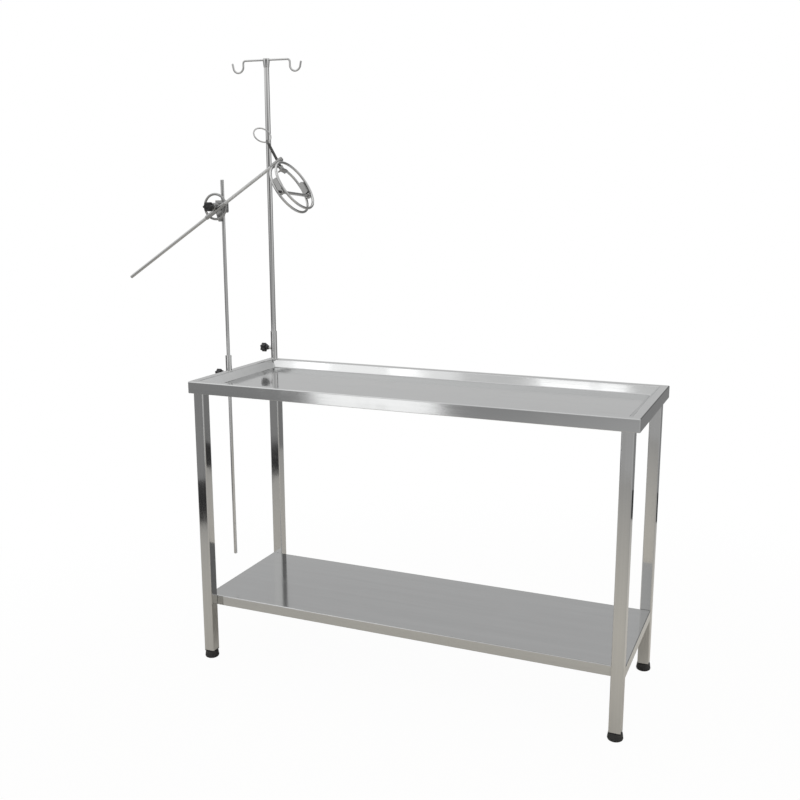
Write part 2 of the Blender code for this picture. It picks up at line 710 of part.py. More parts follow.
def make_rod(steel, plastic, rod_axis):
    """The upright rod with its socket and its clamp, whose screw passes through the apron."""
    knob_height = TABLE_HEIGHT - ROD_SCREW_DROP
    sleeve = socket(
        ROD_RADIUS,
        ROD_SOCKET_RADIUS,
        TABLE_HEIGHT - ROD_SOCKET_DEPTH,
        TABLE_HEIGHT + ROD_SOCKET_HEIGHT,
        knob_height,
    )
    make_piece("rod_socket", sleeve, steel, rod_axis)
    make_socket_clamp(
        "rod",
        ROD_RADIUS,
        ROD_SOCKET_RADIUS,
        ROD_INSET - SHEET - CLEAR,
        ROD_INSET + ROD_KNOB_GAP,
        steel,
        plastic,
        rod_axis,
        knob_height,
    )
    make_piece("upright_rod", cylinder(ROD_RADIUS, ROD_BOTTOM, ROD_TOP), steel, rod_axis)


def make_clamp(steel, plastic, clamp_frame):
    """The jaw on the rod, and the pivot screw with its washer and star knob."""
    half = JAW_WIDTH / 2
    wedge = [
        (-half, JAW_RISE),
        (-half, -JAW_RISE),
        (-JAW_WEDGE_TIP / 2, -JAW_WEDGE_DROP),
        (JAW_WEDGE_TIP / 2, -JAW_WEDGE_DROP),
        (half, -JAW_RISE),
        (half, JAW_RISE),
    ]
    plate = moved(extruded(wedge, JAW_PLATE), (0.0, JAW_PLATE - JAW_FRONT, 0.0), ALONG_MINUS_Y)
    depth = JAW_BACK + JAW_FRONT - JAW_PLATE / 2
    body = box(JAW_WIDTH, depth, 2 * JAW_RISE, (0.0, JAW_BACK - depth / 2, 0.0))
    rod_bore = cylinder(ROD_RADIUS + CLEAR, -2 * JAW_WEDGE_DROP, 2 * JAW_WEDGE_DROP)
    pivot_bore = moved(cylinder(PIVOT_RADIUS + CLEAR, 0.0, 2 * JAW_FRONT), turn=ALONG_MINUS_Y)
    make_piece("clamp_jaw", cut(join(body, plate), rod_bore, pivot_bore), steel, clamp_frame)
    knob_foot = -PIVOT_BOSS_FRONT + WASHER_THICKNESS + 2 * CLEAR
    screw = cylinder(PIVOT_RADIUS, ROD_RADIUS + CLEAR, knob_foot + KNOB_BORE_DEPTH - CLEAR)
    make_piece("clamp_pivot_screw", screw, steel, clamp_frame, turn=ALONG_MINUS_Y)
    knob = star_knob(PIVOT_RADIUS + CLEAR)
    make_piece("clamp_knob", knob, plastic, clamp_frame, (0.0, -knob_foot, 0.0), ALONG_MINUS_Y)


def make_arm(steel, arm_frame):
    """The arm, the sleeve that carries it under the pivot, and the hoop behind the sleeve."""
    boss = moved(cylinder(PIVOT_BOSS_RADIUS, -PIVOT_BOSS_BACK, -PIVOT_BOSS_FRONT), turn=ALONG_MINUS_Y)
    half = ARM_SLEEVE_LENGTH / 2
    arm_line = (0.0, -ARM_FORWARD, -ARM_DROP)
    sleeve = moved(cylinder(ARM_SLEEVE_RADIUS, -half, half), arm_line, ALONG_X)
    arm_bore = moved(cylinder(ARM_RADIUS + CLEAR, -2 * half, 2 * half, SIDES_SMALL), arm_line, ALONG_X)
    pivot_bore = moved(cylinder(PIVOT_RADIUS + CLEAR, 0.0, 2 * PIVOT_BOSS_LENGTH), turn=ALONG_MINUS_Y)
    make_piece("arm_sleeve", cut(join(boss, sleeve), arm_bore, pivot_bore), steel, arm_frame)
    washer = tube(WASHER_RADIUS, PIVOT_RADIUS + CLEAR, 0.0, WASHER_THICKNESS)
    washer_place = (0.0, PIVOT_BOSS_FRONT - CLEAR, 0.0)
    make_piece("clamp_washer", washer, steel, arm_frame, washer_place, ALONG_MINUS_Y)
    hoop = ring(CLAMP_HOOP_RADIUS, CLAMP_HOOP_BAR)
    make_piece("clamp_hoop", hoop, steel, arm_frame, (0.0, CLAMP_HOOP_Y, 0.0), ALONG_MINUS_Y)
    arm = cylinder(ARM_RADIUS, -ARM_BACK, ARM_FRONT, SIDES_SMALL)
    make_piece("head_arm", arm, steel, arm_frame, arm_line, ALONG_X)


def hoop_pair(bar):
    """The two hoops of the head holder as shapes, around bars of this radius."""
    return [
        moved(ring(RING_RADIUS, bar), (RING_OFFSET + side * RING_SPACING / 2, 0.0, RING_MIDDLE), ALONG_X)
        for side in (-1, 1)
    ]


def make_head_ring(steel, head_frame):
    """The hoops, the head block above them and the side blocks and brackets between them."""
    for name, hoop in zip(("ring_hoop_near", "ring_hoop_far"), hoop_pair(RING_BAR)):
        make_piece(name, hoop, steel, head_frame)
    block = moved(cylinder(HEAD_BLOCK_RADIUS, -HEAD_BLOCK_FRONT, HEAD_BLOCK_BACK), turn=ALONG_MINUS_X)
    arm_bore = cylinder(ARM_RADIUS + CLEAR, ARM_SEAT, 2 * HEAD_BLOCK_BACK, SIDES_SMALL)
    screw_bore = cylinder(JAW_SCREW_RADIUS + CLEAR, -2 * HEAD_BLOCK_RADIUS, 2 * HEAD_BLOCK_RADIUS)
    make_piece("head_block", cut(block, moved(arm_bore, turn=ALONG_MINUS_X), screw_bore), steel, head_frame)
    side_y = RING_RADIUS - SIDE_BLOCK_DEPTH / 2
    for name, sign in (("front", -1), ("back", 1)):
        side_place = (RING_OFFSET, sign * side_y, RING_MIDDLE + SIDE_BLOCK_RISE)
        side = box(SIDE_BLOCK_LENGTH, SIDE_BLOCK_DEPTH, SIDE_BLOCK_HEIGHT, side_place)
        make_piece(f"side_block_{name}", cut(side, *hoop_pair(RING_BAR + CLEAR)), steel, head_frame)
        bracket_place = (RING_OFFSET, sign * BRACKET_Y, RING_MIDDLE - BITE_BAR_DROP)
        bracket = box(SIDE_BLOCK_LENGTH, BRACKET_DEPTH, BRACKET_HEIGHT, bracket_place)
        drill = cylinder(BAR_SCREW_RADIUS + CLEAR, -BRACKET_DEPTH, BRACKET_DEPTH, BAR_SIDES)
        drill = moved(drill, bracket_place, ALONG_Y)
        bracket = cut(bracket, drill, *hoop_pair(RING_BAR + CLEAR))
        make_piece(f"bite_bar_bracket_{name}", bracket, steel, head_frame)


def make_bite_bar(steel, head_frame):
    """The straight bar across the ring and the two screws that hold its ends."""
    bar_end = BRACKET_Y - BRACKET_DEPTH / 2 - CLEAR
    bar = box(BITE_BAR_WIDTH, 2 * bar_end, BITE_BAR_THICKNESS)
    head_seat = BRACKET_Y + BRACKET_DEPTH / 2 + CLEAR
    screw_tip = bar_end - BAR_SCREW_GRIP
    place = (RING_OFFSET, 0.0, RING_MIDDLE - BITE_BAR_DROP)
    drills = []
    for name, turn in (("front", ALONG_MINUS_Y), ("back", ALONG_Y)):
        hole = cylinder(BAR_SCREW_RADIUS + CLEAR, screw_tip - CLEAR, 2 * bar_end, BAR_SIDES)
        drills.append(moved(hole, turn=turn))
        screw = turned([
            (0.0, screw_tip),
            (BAR_SCREW_RADIUS, screw_tip),
            (BAR_SCREW_RADIUS, head_seat),
            (BAR_SCREW_HEAD_RADIUS, head_seat),
            (BAR_SCREW_HEAD_RADIUS, head_seat + BAR_SCREW_HEAD_LENGTH),
            (0.0, head_seat + BAR_SCREW_HEAD_LENGTH),
        ], BAR_SIDES)
        make_piece(f"bite_bar_screw_{name}", screw, steel, head_frame, place, turn)
    make_piece("bite_bar", cut(bar, *drills), steel, head_frame, place)


def make_nose_jaw(steel, head_frame):
    """The curved jaw, the screw that drives it and the wire loop through the screw's end."""
    hub_top = RING_MIDDLE + RING_RADIUS - RING_BAR - NOSE_REST_GAP
    hub_foot = hub_top - NOSE_HUB_LENGTH
    hub = cylinder(NOSE_HUB_RADIUS, hub_foot, hub_top)
    half_angle = math.asin(NOSE_PLATE_SPAN / 2 / NOSE_PLATE_RADIUS)
    angles = [half_angle * (2 * step / ARC_STEPS - 1) for step in range(ARC_STEPS + 1)]
    inner = NOSE_PLATE_RADIUS - NOSE_PLATE_THICKNESS
    outline = [(NOSE_PLATE_RADIUS * math.sin(a), NOSE_PLATE_RADIUS * math.cos(a)) for a in angles]
    outline += [(inner * math.sin(a), inner * math.cos(a)) for a in reversed(angles)]
    plate = extruded(outline, NOSE_PLATE_WIDTH)
    plate_crown = hub_foot + NOSE_PLATE_THICKNESS / 2
    plate_place = (-NOSE_PLATE_WIDTH / 2, 0.0, plate_crown - NOSE_PLATE_RADIUS)
    plate = moved(plate, plate_place, OUTLINE_ALONG_X)
    bore = cylinder(JAW_SCREW_RADIUS + CLEAR, hub_top - NOSE_HUB_BORE, hub_top + NOSE_HUB_LENGTH)
    make_piece("nose_jaw", cut(join(plate, hub), bore), steel, head_frame)
    screw = cylinder(JAW_SCREW_RADIUS, hub_top - NOSE_HUB_BORE + CLEAR, JAW_SCREW_RISE)
    loop_foot = JAW_SCREW_RISE - LOOP_BELOW_TOP
    eye = cylinder(LOOP_WIRE + LOOP_PLAY, -2 * JAW_SCREW_RADIUS, 2 * JAW_SCREW_RADIUS, BAR_SIDES)
    loop_turn = Matrix.Rotation(LOOP_TURN, 4, "Z")
    eye = moved(eye, (0.0, 0.0, loop_foot + LOOP_PLAY / 2), loop_turn @ ALONG_X)
    make_piece("jaw_screw", cut(screw, eye), steel, head_frame)
    path = []
    for step in range(SIDES_LARGE):
        angle = math.tau * step / SIDES_LARGE
        z = LOOP_HEIGHT / 2 * (1 + math.sin(angle))
        x = LOOP_WIDTH / 2 * math.cos(angle) - LOOP_LEAN * z
        path.append(Vector((x, 0.0, z)))
    loop = swept(path, LOOP_WIRE, Vector((0.0, 1.0, 0.0)), closed=True)
    make_piece("jaw_loop_handle", loop, steel, head_frame, (0.0, 0.0, loop_foot), loop_turn)


def main():
    """Clear the scene and build the whole table."""
    for item in list(bpy.data.objects):
        bpy.data.objects.remove(item)
    steel = make_finish("stainless_steel", (0.60, 0.60, 0.59), 0.28, 1.0)
    plastic = make_finish("black_plastic", (0.015, 0.015, 0.016), 0.45, 0.0)

    table = make_frame("table_middle", None, (TABLE_X, 0.0, 0.0))
    make_table_top(steel, table)
    make_channels(steel, table)
    make_shelf(steel, table)
    make_legs(steel, plastic, table)

    pole_axis = make_frame("pole_axis", table, (POLE_X, POLE_Y, 0.0))
    make_pole(steel, plastic, pole_axis)
    hook_frame = make_frame("hook_frame", pole_axis, (0.0, 0.0, 0.0), (0.0, 0.0, HOOK_TURN))
    make_hook_head(steel, hook_frame)

    rod_axis = make_frame("rod_axis", table, (ROD_X, ROD_Y, 0.0))
    make_rod(steel, plastic, rod_axis)
    clamp_frame = make_frame("clamp_frame", rod_axis, (0.0, 0.0, PIVOT_HEIGHT))
    make_clamp(steel, plastic, clamp_frame)

    arm_frame = make_frame("arm_frame", clamp_frame, (0.0, 0.0, 0.0), (0.0, -ARM_TILT, 0.0))
    make_arm(steel, arm_frame)
    head_place = (HEAD_PLACE, -ARM_FORWARD, -ARM_DROP)
    head_frame = make_frame("head_frame", arm_frame, head_place, (HEAD_ROLL, 0.0, 0.0))
    make_head_ring(steel, head_frame)
    make_bite_bar(steel, head_frame)
    make_nose_jaw(steel, head_frame)


main()
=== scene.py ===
# %% [markdown]
# # Dressing a stainless steel dissection table
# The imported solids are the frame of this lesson: they say where every piece is and how it moves. Here each
# visible piece is modelled again with the bends, threads and rounded edges that sheet and bar really have,
# and gets its finish. Nothing is moved, so each piece takes its sizes from the solid that it stands for.

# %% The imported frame
import json
import math

import bmesh
import bpy
from mathutils import Matrix, Vector

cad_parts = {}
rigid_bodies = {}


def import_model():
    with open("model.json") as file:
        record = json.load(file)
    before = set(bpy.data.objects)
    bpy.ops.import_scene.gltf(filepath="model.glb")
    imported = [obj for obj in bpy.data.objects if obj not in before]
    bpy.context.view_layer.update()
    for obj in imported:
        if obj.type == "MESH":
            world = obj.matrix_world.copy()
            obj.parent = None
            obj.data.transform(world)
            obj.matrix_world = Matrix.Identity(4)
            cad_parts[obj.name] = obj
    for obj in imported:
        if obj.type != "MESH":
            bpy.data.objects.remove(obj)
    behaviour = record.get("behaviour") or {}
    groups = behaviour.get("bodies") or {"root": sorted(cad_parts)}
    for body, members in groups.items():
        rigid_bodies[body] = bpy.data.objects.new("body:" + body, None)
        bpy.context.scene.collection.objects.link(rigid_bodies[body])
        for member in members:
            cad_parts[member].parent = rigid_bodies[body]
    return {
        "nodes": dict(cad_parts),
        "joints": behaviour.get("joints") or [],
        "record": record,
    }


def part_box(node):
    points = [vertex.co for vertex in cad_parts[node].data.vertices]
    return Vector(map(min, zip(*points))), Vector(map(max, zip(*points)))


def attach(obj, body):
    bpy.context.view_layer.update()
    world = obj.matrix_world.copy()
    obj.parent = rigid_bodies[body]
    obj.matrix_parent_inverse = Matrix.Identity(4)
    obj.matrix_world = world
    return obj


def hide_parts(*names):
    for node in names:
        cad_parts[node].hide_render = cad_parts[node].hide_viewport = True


for leftover in list(bpy.data.objects):
    bpy.data.objects.remove(leftover)
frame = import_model()
NODES = frame["nodes"]
JOINTS = {joint["name"]: joint for joint in frame["joints"]}
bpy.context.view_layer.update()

# %% [markdown]
# ## The places that pieces are built in
# A slanted arm is awkward to model where it stands. It is easier to model each piece upright and to lay it
# into place at the end. The joints' axes give frames for the arm, the head holder and the clamp, and the
# solids give those of the pole, the rod and the hooks. `extent` measures a solid along such axes.

# %% Local frames
def axes_at(origin, along_x, along_z):
    """The frame with this origin, X axis and Z axis."""
    x_axis = Vector(along_x).normalized()
    z_axis = Vector(along_z).normalized()
    y_axis = z_axis.cross(x_axis)
    return Matrix.Translation(origin) @ Matrix((x_axis, y_axis, z_axis)).transposed().to_4x4()


def extent(node, place):
    """The lowest and highest corner of a solid, measured along the axes of a frame."""
    inward = place.inverted()
    points = [inward @ vertex.co for vertex in NODES[node].data.vertices]
    low = Vector(min(point[axis] for point in points) for axis in range(3))
    high = Vector(max(point[axis] for point in points) for axis in range(3))
    return low, high


def middle(node):
    """The middle of a solid's box."""
    low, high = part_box(node)
    return (low + high) / 2


def under(node):
    """The frame on the floor below the middle of a solid."""
    return Matrix.Translation((*middle(node).xy, 0.0))


pivot = Vector(JOINTS["arm_tilt"]["pos_m"])
arm_axis = Vector(JOINTS["arm_reach"]["axis"])
jaw_axis = Vector(JOINTS["nose_jaw_travel"]["axis"])
ARM = axes_at(pivot, arm_axis, arm_axis.cross((0.0, 1.0, 0.0)))
HEAD = axes_at(JOINTS["head_roll"]["pos_m"], arm_axis, -jaw_axis)
CLAMP = Matrix.Translation(pivot)
POLE = under("infusion_pole")
ROD = under("upright_rod")
hook_span = max(NODES["hook_bar"].data.vertices, key=lambda vertex: vertex.co.x).co - POLE.translation
HOOK = axes_at(POLE.translation, (hook_span.x, hook_span.y, 0.0), (0.0, 0.0, 1.0))
print("The arm slopes by", round(math.degrees(math.asin(arm_axis.z)), 2), "degrees")

# %% [markdown]
# ## Camera
# The table was photographed from its right end, a little above the top. A fit of the table's corners gave
# the place, the turn and the lens, so the render lines up with the picture.

# %% The photograph's viewpoint
CAMERA_PLACE = (1.1627, -2.5708, 1.3689)
CAMERA_YAW = 23.066
CAMERA_PITCH = -11.607
CAMERA_ROLL = 0.098
CAMERA_LENS = 44.82
SENSOR_WIDTH = 36.0


def begin():
    """Object mode with nothing selected, as every new piece starts."""
    if bpy.context.mode != "OBJECT":
        bpy.ops.object.mode_set(mode="OBJECT")
    bpy.ops.object.select_all(action="DESELECT")


def named(name):
    """What was just added, under its own name."""
    bpy.context.object.name = name
    return bpy.context.object


begin()
turns = (90.0 + CAMERA_PITCH, CAMERA_ROLL, CAMERA_YAW)
bpy.ops.object.camera_add(location=CAMERA_PLACE, rotation=[math.radians(turn) for turn in turns])
camera = named("photo_camera")
camera.data.lens = CAMERA_LENS
camera.data.sensor_width = SENSOR_WIDTH
bpy.context.scene.camera = camera
print("The camera stands", round((camera.location - middle("table_top")).length, 2), "m from the table top")

# %% [markdown]
# ## Studio
# Polished steel has hardly a colour of its own: it shows the room. The picture was cut out on white, but the
# steel shows that the studio was bright at the sides and above, dimmer on the camera's side, low on the left
# and behind the right end, and pale below. A plain white world would make the steel look like plaster, so
# this one keeps white for the camera and gives reflections soft changes from one side to the next.

# %% Helpers for nodes
UNIT = (0.0, 1.0)


def feed(tree, socket, value):
    """Links an output to a socket, or sets the socket to a plain value."""
    if isinstance(value, bpy.types.NodeSocket):
        tree.links.new(value, socket)
    else:
        socket.default_value = value


def combine(tree, operation, *values):
    """The output of a Math node that works on these outputs or numbers."""
    step = tree.nodes.new("ShaderNodeMath")
    step.operation = operation
    for socket, value in zip(step.inputs, values):
        feed(tree, socket, value)
    return step.outputs[0]


def spread(tree, value, old, new, curve="LINEAR"):
    """An output moved from the old (low, high) to the new one."""
    step = tree.nodes.new("ShaderNodeMapRange")
    step.interpolation_type = curve
    for socket, number in zip(step.inputs, (value, *old, *new)):
        feed(tree, socket, number)
    return step.outputs["Result"]


def tinted(tree, first, second, share):
    """A colour between two, by a share that changes over the surface."""
    blend = tree.nodes.new("ShaderNodeMix")
    blend.data_type = "RGBA"
    blend.inputs["A"].default_value = (*first, 1.0)
    blend.inputs["B"].default_value = (*second, 1.0)
    tree.links.new(share, blend.inputs["Factor"])
    return blend.outputs["Result"]


# %% The world's rays
HORIZON_RISE = (-0.12, 0.03)

world = bpy.data.worlds.new("white_studio")
world.use_nodes = True
bpy.context.scene.world = world
sky = world.node_tree
background = sky.nodes["Background"]
rays = sky.nodes.new("ShaderNodeLightPath").outputs
ray = sky.nodes.new("ShaderNodeSeparateXYZ")
sky.links.new(sky.nodes.new("ShaderNodeTexCoord").outputs["Generated"], ray.inputs["Vector"])
rise = ray.outputs["Z"]


def towards(turn):
    """How far a ray goes along a level heading, given by its turn left of +Y: from -1 to 1."""
    angle = math.radians(turn)
    along_y = combine(sky, "MULTIPLY", ray.outputs["Y"], math.cos(angle))
    return combine(sky, "MULTIPLY_ADD", ray.outputs["X"], -math.sin(angle), along_y)


def ramp(value, band, levels):
    """A soft change between two levels while a value crosses a band."""
    return spread(sky, value, band, levels, "SMOOTHSTEP")


away = towards(CAMERA_YAW)
above = ramp(rise, HORIZON_RISE, UNIT)
print("The world", world.name, "sorts rays by their heading and their rise")

# %% A world that is white at the sides and dimmer in front
SIDE_LEVEL = 1.0
HIGH_LEVELS = (0.85, 1.1)
HIGH_BAND = (0.05, 0.35)
HIGH_RISE = (0.60, 0.80)
BACK_LEVELS = (0.65, 0.56)
BACK_BAND = (0.55, 0.90)
BACK_RISE = (0.22, 0.40)
FRONT_LEVELS = (0.20, 0.65)
FRONT_BAND = (-0.92, -0.60)
FRONT_RISE = (0.03, 0.12)
BELOW_LEVELS = (0.55, 0.30)
DIM_CORNER = 142.0
DIM_CORNER_BAND = (0.80, 0.97)
RIGHT_BACK = -30.0
RIGHT_BACK_BAND = (0.78, 0.88)
RIGHT_BACK_SHARES = (0.45, 0.25)
LEFT = 78.0
LEFT_BAND = (0.55, 0.75)
LEFT_RISE = (0.06, 0.12)
LEFT_SHARES = (0.40, 1.0)
DIFFUSE_LEVEL = 0.80

side = ramp(rise, HIGH_RISE, (SIDE_LEVEL, ramp(away, HIGH_BAND, HIGH_LEVELS)))
behind = ramp(away, BACK_BAND, (side, ramp(rise, BACK_RISE, BACK_LEVELS)))
level = ramp(away, FRONT_BAND, (ramp(rise, FRONT_RISE, FRONT_LEVELS), behind))
below = ramp(towards(DIM_CORNER), DIM_CORNER_BAND, BELOW_LEVELS)
room = spread(sky, above, UNIT, (below, level))
right_dimmed = spread(sky, above, UNIT, RIGHT_BACK_SHARES)
right_share = ramp(towards(RIGHT_BACK), RIGHT_BACK_BAND, (1.0, right_dimmed))
left_share = ramp(towards(LEFT), LEFT_BAND, (1.0, ramp(rise, LEFT_RISE, LEFT_SHARES)))
seen = combine(sky, "MULTIPLY", combine(sky, "MULTIPLY", room, right_share), left_share)
mirrored = combine(sky, "MAXIMUM", rays["Is Glossy Ray"], rays["Is Transmission Ray"])
reflected = spread(sky, mirrored, UNIT, (DIFFUSE_LEVEL, seen))
strength = spread(sky, rays["Is Camera Ray"], UNIT, (reflected, 1.0))
sky.links.new(strength, background.inputs["Strength"])
background.inputs["Color"].default_value = (1.0, 1.0, 1.0, 1.0)
print("Reflections see", FRONT_LEVELS, "in front,", BACK_LEVELS, "behind and", SIDE_LEVEL, "at the sides")

# %% [markdown]
# The floor is a pale disc that fades into the white around it. To the camera it is nearly white, while the
# legs mirror it as a real, slightly warm floor that takes the table's shadow; further out its colour is
# painted darker, as painted shade.

# %% The floor
FLOOR_RADIUS = 2.4
FLOOR_MIDDLE = (0.45, -0.3, 0.0)
FLOOR_COLOUR = (0.82, 0.785, 0.715)
FLOOR_PAINTED_SHADE_COLOUR = (0.53, 0.525, 0.515)
FLOOR_NEAR = 0.6
FLOOR_GLOW = 0.97
GLOW_BAND = (0.9, 0.95 * FLOOR_RADIUS)

begin()
bpy.ops.mesh.primitive_circle_add(
    vertices=96, radius=FLOOR_RADIUS, fill_type="NGON", location=FLOOR_MIDDLE
)
floor = named("studio_floor")
floor_finish = bpy.data.materials.new("pale_floor")
floor_finish.use_nodes = True
tree = floor_finish.node_tree
tree.nodes.remove(tree.nodes["Principled BSDF"])
matt = tree.nodes.new("ShaderNodeBsdfDiffuse")
glow = tree.nodes.new("ShaderNodeEmission")
mix = tree.nodes.new("ShaderNodeMixShader")
length = tree.nodes.new("ShaderNodeVectorMath")
length.operation = "LENGTH"
tree.links.new(tree.nodes.new("ShaderNodeTexCoord").outputs["Object"], length.inputs[0])
reach = length.outputs["Value"]
fade = spread(tree, reach, GLOW_BAND, (FLOOR_GLOW, 1.0), "SMOOTHSTEP")
# The floor's colour is painted darker further out, as painted shade, so mirrors show a dimmer floor away from
# the table.
painted_shade_share = spread(tree, reach, (FLOOR_NEAR, FLOOR_RADIUS), UNIT)
tree.links.new(tinted(tree, FLOOR_COLOUR, FLOOR_PAINTED_SHADE_COLOUR, painted_shade_share), matt.inputs["Color"])
camera_ray = tree.nodes.new("ShaderNodeLightPath").outputs["Is Camera Ray"]
tree.links.new(combine(tree, "MULTIPLY", fade, camera_ray), mix.inputs["Fac"])
tree.links.new(matt.outputs["BSDF"], mix.inputs[1])
tree.links.new(glow.outputs["Emission"], mix.inputs[2])
tree.links.new(mix.outputs["Shader"], tree.nodes["Material Output"].inputs["Surface"])
floor.data.materials.append(floor_finish)
print("The floor is", 2 * FLOOR_RADIUS, "m across")

# %% [markdown]
# Two soft boxes overlap high up on the left, so the back slope of the rim is brightest at that end, with
# five small lamps below them that leave the soft bright spots along that slope. A card stands low at the
# front left, where it puts the white patch on the front apron. None is seen directly.

# %% The lamps
CEILING_LAMPS_X = (-1.53, -0.95, -0.12, 0.03, 0.19)


def soft_box(name, place, target, size, glow_level):
    """A rectangular lamp that faces a point and glows evenly at this level."""
    begin()
    bpy.ops.object.light_add(type="AREA", location=place)
    lamp = named(name)
    lamp.rotation_euler = (Vector(target) - Vector(place)).to_track_quat("-Z", "Y").to_euler()
    lamp.data.shape = "RECTANGLE"
    lamp.data.size, lamp.data.size_y = size
    lamp.data.energy = math.pi * size[0] * size[1] * glow_level
    lamp.visible_camera = False
    print(name, "draws", round(lamp.data.energy, 1), "W")


soft_box("top_soft_box", (-1.65, -0.4, 3.3), (-1.65, -0.3, 0.8), (1.9, 1.8), 0.40)
soft_box("left_soft_box", (-1.55, -0.4, 3.4), (-1.55, -0.3, 0.8), (0.65, 1.8), 0.20)
soft_box("front_card", (-1.58, -3.9, 0.0), (0.0, -0.23, 0.83), (0.87, 0.8), 1.20)
for number, lamp_x in enumerate(CEILING_LAMPS_X):
    soft_box(f"ceiling_lamp_{number}", (lamp_x, -0.26, 3.1), (lamp_x, -0.2, 0.8), (0.18, 0.18), 1.1)

# %% [markdown]
# The legs in the picture carry short dark patches halfway up: they mirror something dark that lay on the
# studio floor, at the front left and behind the right end. Paint on the legs would stay put when the table is
# turned, so two dark cards lie there instead. They show in mirrors alone and throw no shadow.

# %% The dark cards
DARK = (0.02, 0.02, 0.02, 1.0)

card_finish = bpy.data.materials.new("dark_card")
card_finish.use_nodes = True
card_finish.node_tree.nodes["Principled BSDF"].inputs["Base Color"].default_value = DARK
card_finish.node_tree.nodes["Principled BSDF"].inputs["Roughness"].default_value = 1.0


def dark_card(name, place, size, turn):
    """A dark rectangle that lies on the floor and shows in reflections alone."""
    begin()
    bpy.ops.mesh.primitive_plane_add(size=1.0, location=place, rotation=(0.0, 0.0, math.radians(turn)))
    card = named(name)
    card.scale = (*size, 1.0)
    card.data.materials.append(card_finish)
    card.visible_camera = False
    card.visible_diffuse = False
    card.visible_shadow = False
    print(name, "lies on the floor, turned by", turn, "degrees")


dark_card("front_dark_card", (-1.42, -1.52, 0.004), (0.66, 0.50), 55.0)
dark_card("back_dark_card", (0.95, 1.80, 0.004), (0.60, 0.44), 0.0)

# %% [markdown]
# ## Finishes
# Three things make steel look made rather than computed: the fine lines that the belt or the drawing die
# left, the broad streaks between them, and the dull marks where hands and cloths went over it. More than one
# finish needs them, so each is a node group that puts out plain masks for a finish's own shader.

# %% Node groups for grain and marks
STREAK_SHAPE = (0.3, 0.06, 0.06)
STREAK_BAND = (0.3, 0.7)
PATCH_BAND = (0.5, 0.68)
SPECK_SCALE = 37.0
SPECK_BAND = (0.66, 0.74)


def new_group(name, entries, exits):
    """An empty shader group with named vector or number sockets, and its two end nodes."""
    group = bpy.data.node_groups.new(name, "ShaderNodeTree")
    for label, kind in entries:
        group.interface.new_socket(label, in_out="INPUT", socket_type=kind)
    for label in exits:
        group.interface.new_socket(label, in_out="OUTPUT", socket_type="NodeSocketFloat")
    return group, group.nodes.new("NodeGroupInput").outputs, group.nodes.new("NodeGroupOutput").inputs


def cloud(tree, place, scale, detail):
    """The value of a noise texture at a place."""
    noise = tree.nodes.new("ShaderNodeTexNoise")
    noise.inputs["Scale"].default_value = scale
    noise.inputs["Detail"].default_value = detail
    tree.links.new(place, noise.inputs["Vector"])
    return noise.outputs["Fac"]


def scaled(tree, place, stretch):
    """A place multiplied by a vector or by another output, axis by axis."""
    step = tree.nodes.new("ShaderNodeVectorMath")
    step.operation = "MULTIPLY"
    tree.links.new(place, step.inputs[0])
    feed(tree, step.inputs[1], stretch)
    return step.outputs["Vector"]


grain_group, entry, leave = new_group(
    "brushed_grain", [("Place", "NodeSocketVector"), ("Stretch", "NodeSocketVector")], ["Lines", "Streaks"]
)
tree = grain_group
drawn_out = scaled(tree, entry["Place"], entry["Stretch"])
tree.links.new(cloud(tree, drawn_out, 1.0, 4.0), leave["Lines"])
broad = cloud(tree, scaled(tree, drawn_out, STREAK_SHAPE), 1.0, 2.0)
tree.links.new(spread(tree, broad, STREAK_BAND, UNIT), leave["Streaks"])

marks_group, entry, leave = new_group(
    "handling_marks", [("Place", "NodeSocketVector"), ("Size", "NodeSocketFloat")], ["Marks", "Dust"]
)
tree = marks_group
grown = scaled(tree, entry["Place"], combine(tree, "DIVIDE", 1.0, entry["Size"]))
patches = spread(tree, cloud(tree, grown, 1.0, 3.0), PATCH_BAND, UNIT, "SMOOTHSTEP")
tree.links.new(patches, leave["Marks"])
specks = spread(tree, cloud(tree, grown, SPECK_SCALE, 1.0), SPECK_BAND, UNIT)
tree.links.new(combine(tree, "MULTIPLY", specks, patches), leave["Dust"])
print("Groups:", grain_group.name, "and", marks_group.name)

# %% [markdown]
# A steel finish is a fully metallic shader. Its lines change the roughness and a very shallow bump, and the
# streaks change the colour by a few hundredths. The sheet was brushed along its length before it was folded,
# so on the end aprons the lines run down: there the pattern's X and Z are swapped, by the surface's normal.

# %% Putting a finish together
BUMP_DEPTH = 0.0002
END_FACING = 0.75


def new_finish(name):
    """A new material with its node tree, its shader and the object's own coordinates."""
    finish = bpy.data.materials.new(name)
    finish.use_nodes = True
    tree = finish.node_tree
    return finish, tree, tree.nodes["Principled BSDF"], tree.nodes.new("ShaderNodeTexCoord").outputs["Object"]


def placed(tree, group, place, setting, value):
    """The outputs of a node group put into a finish, with its own setting."""
    node = tree.nodes.new("ShaderNodeGroup")
    node.node_tree = group
    tree.links.new(place, node.inputs["Place"])
    node.inputs[setting].default_value = value
    return node.outputs


def roughen(tree, shader, height, relief):
    """Gives a shader a shallow bump."""
    bump = tree.nodes.new("ShaderNodeBump")
    bump.inputs["Strength"].default_value = relief
    bump.inputs["Distance"].default_value = BUMP_DEPTH
    tree.links.new(height, bump.inputs["Height"])
    tree.links.new(bump.outputs["Normal"], shader.inputs["Normal"])


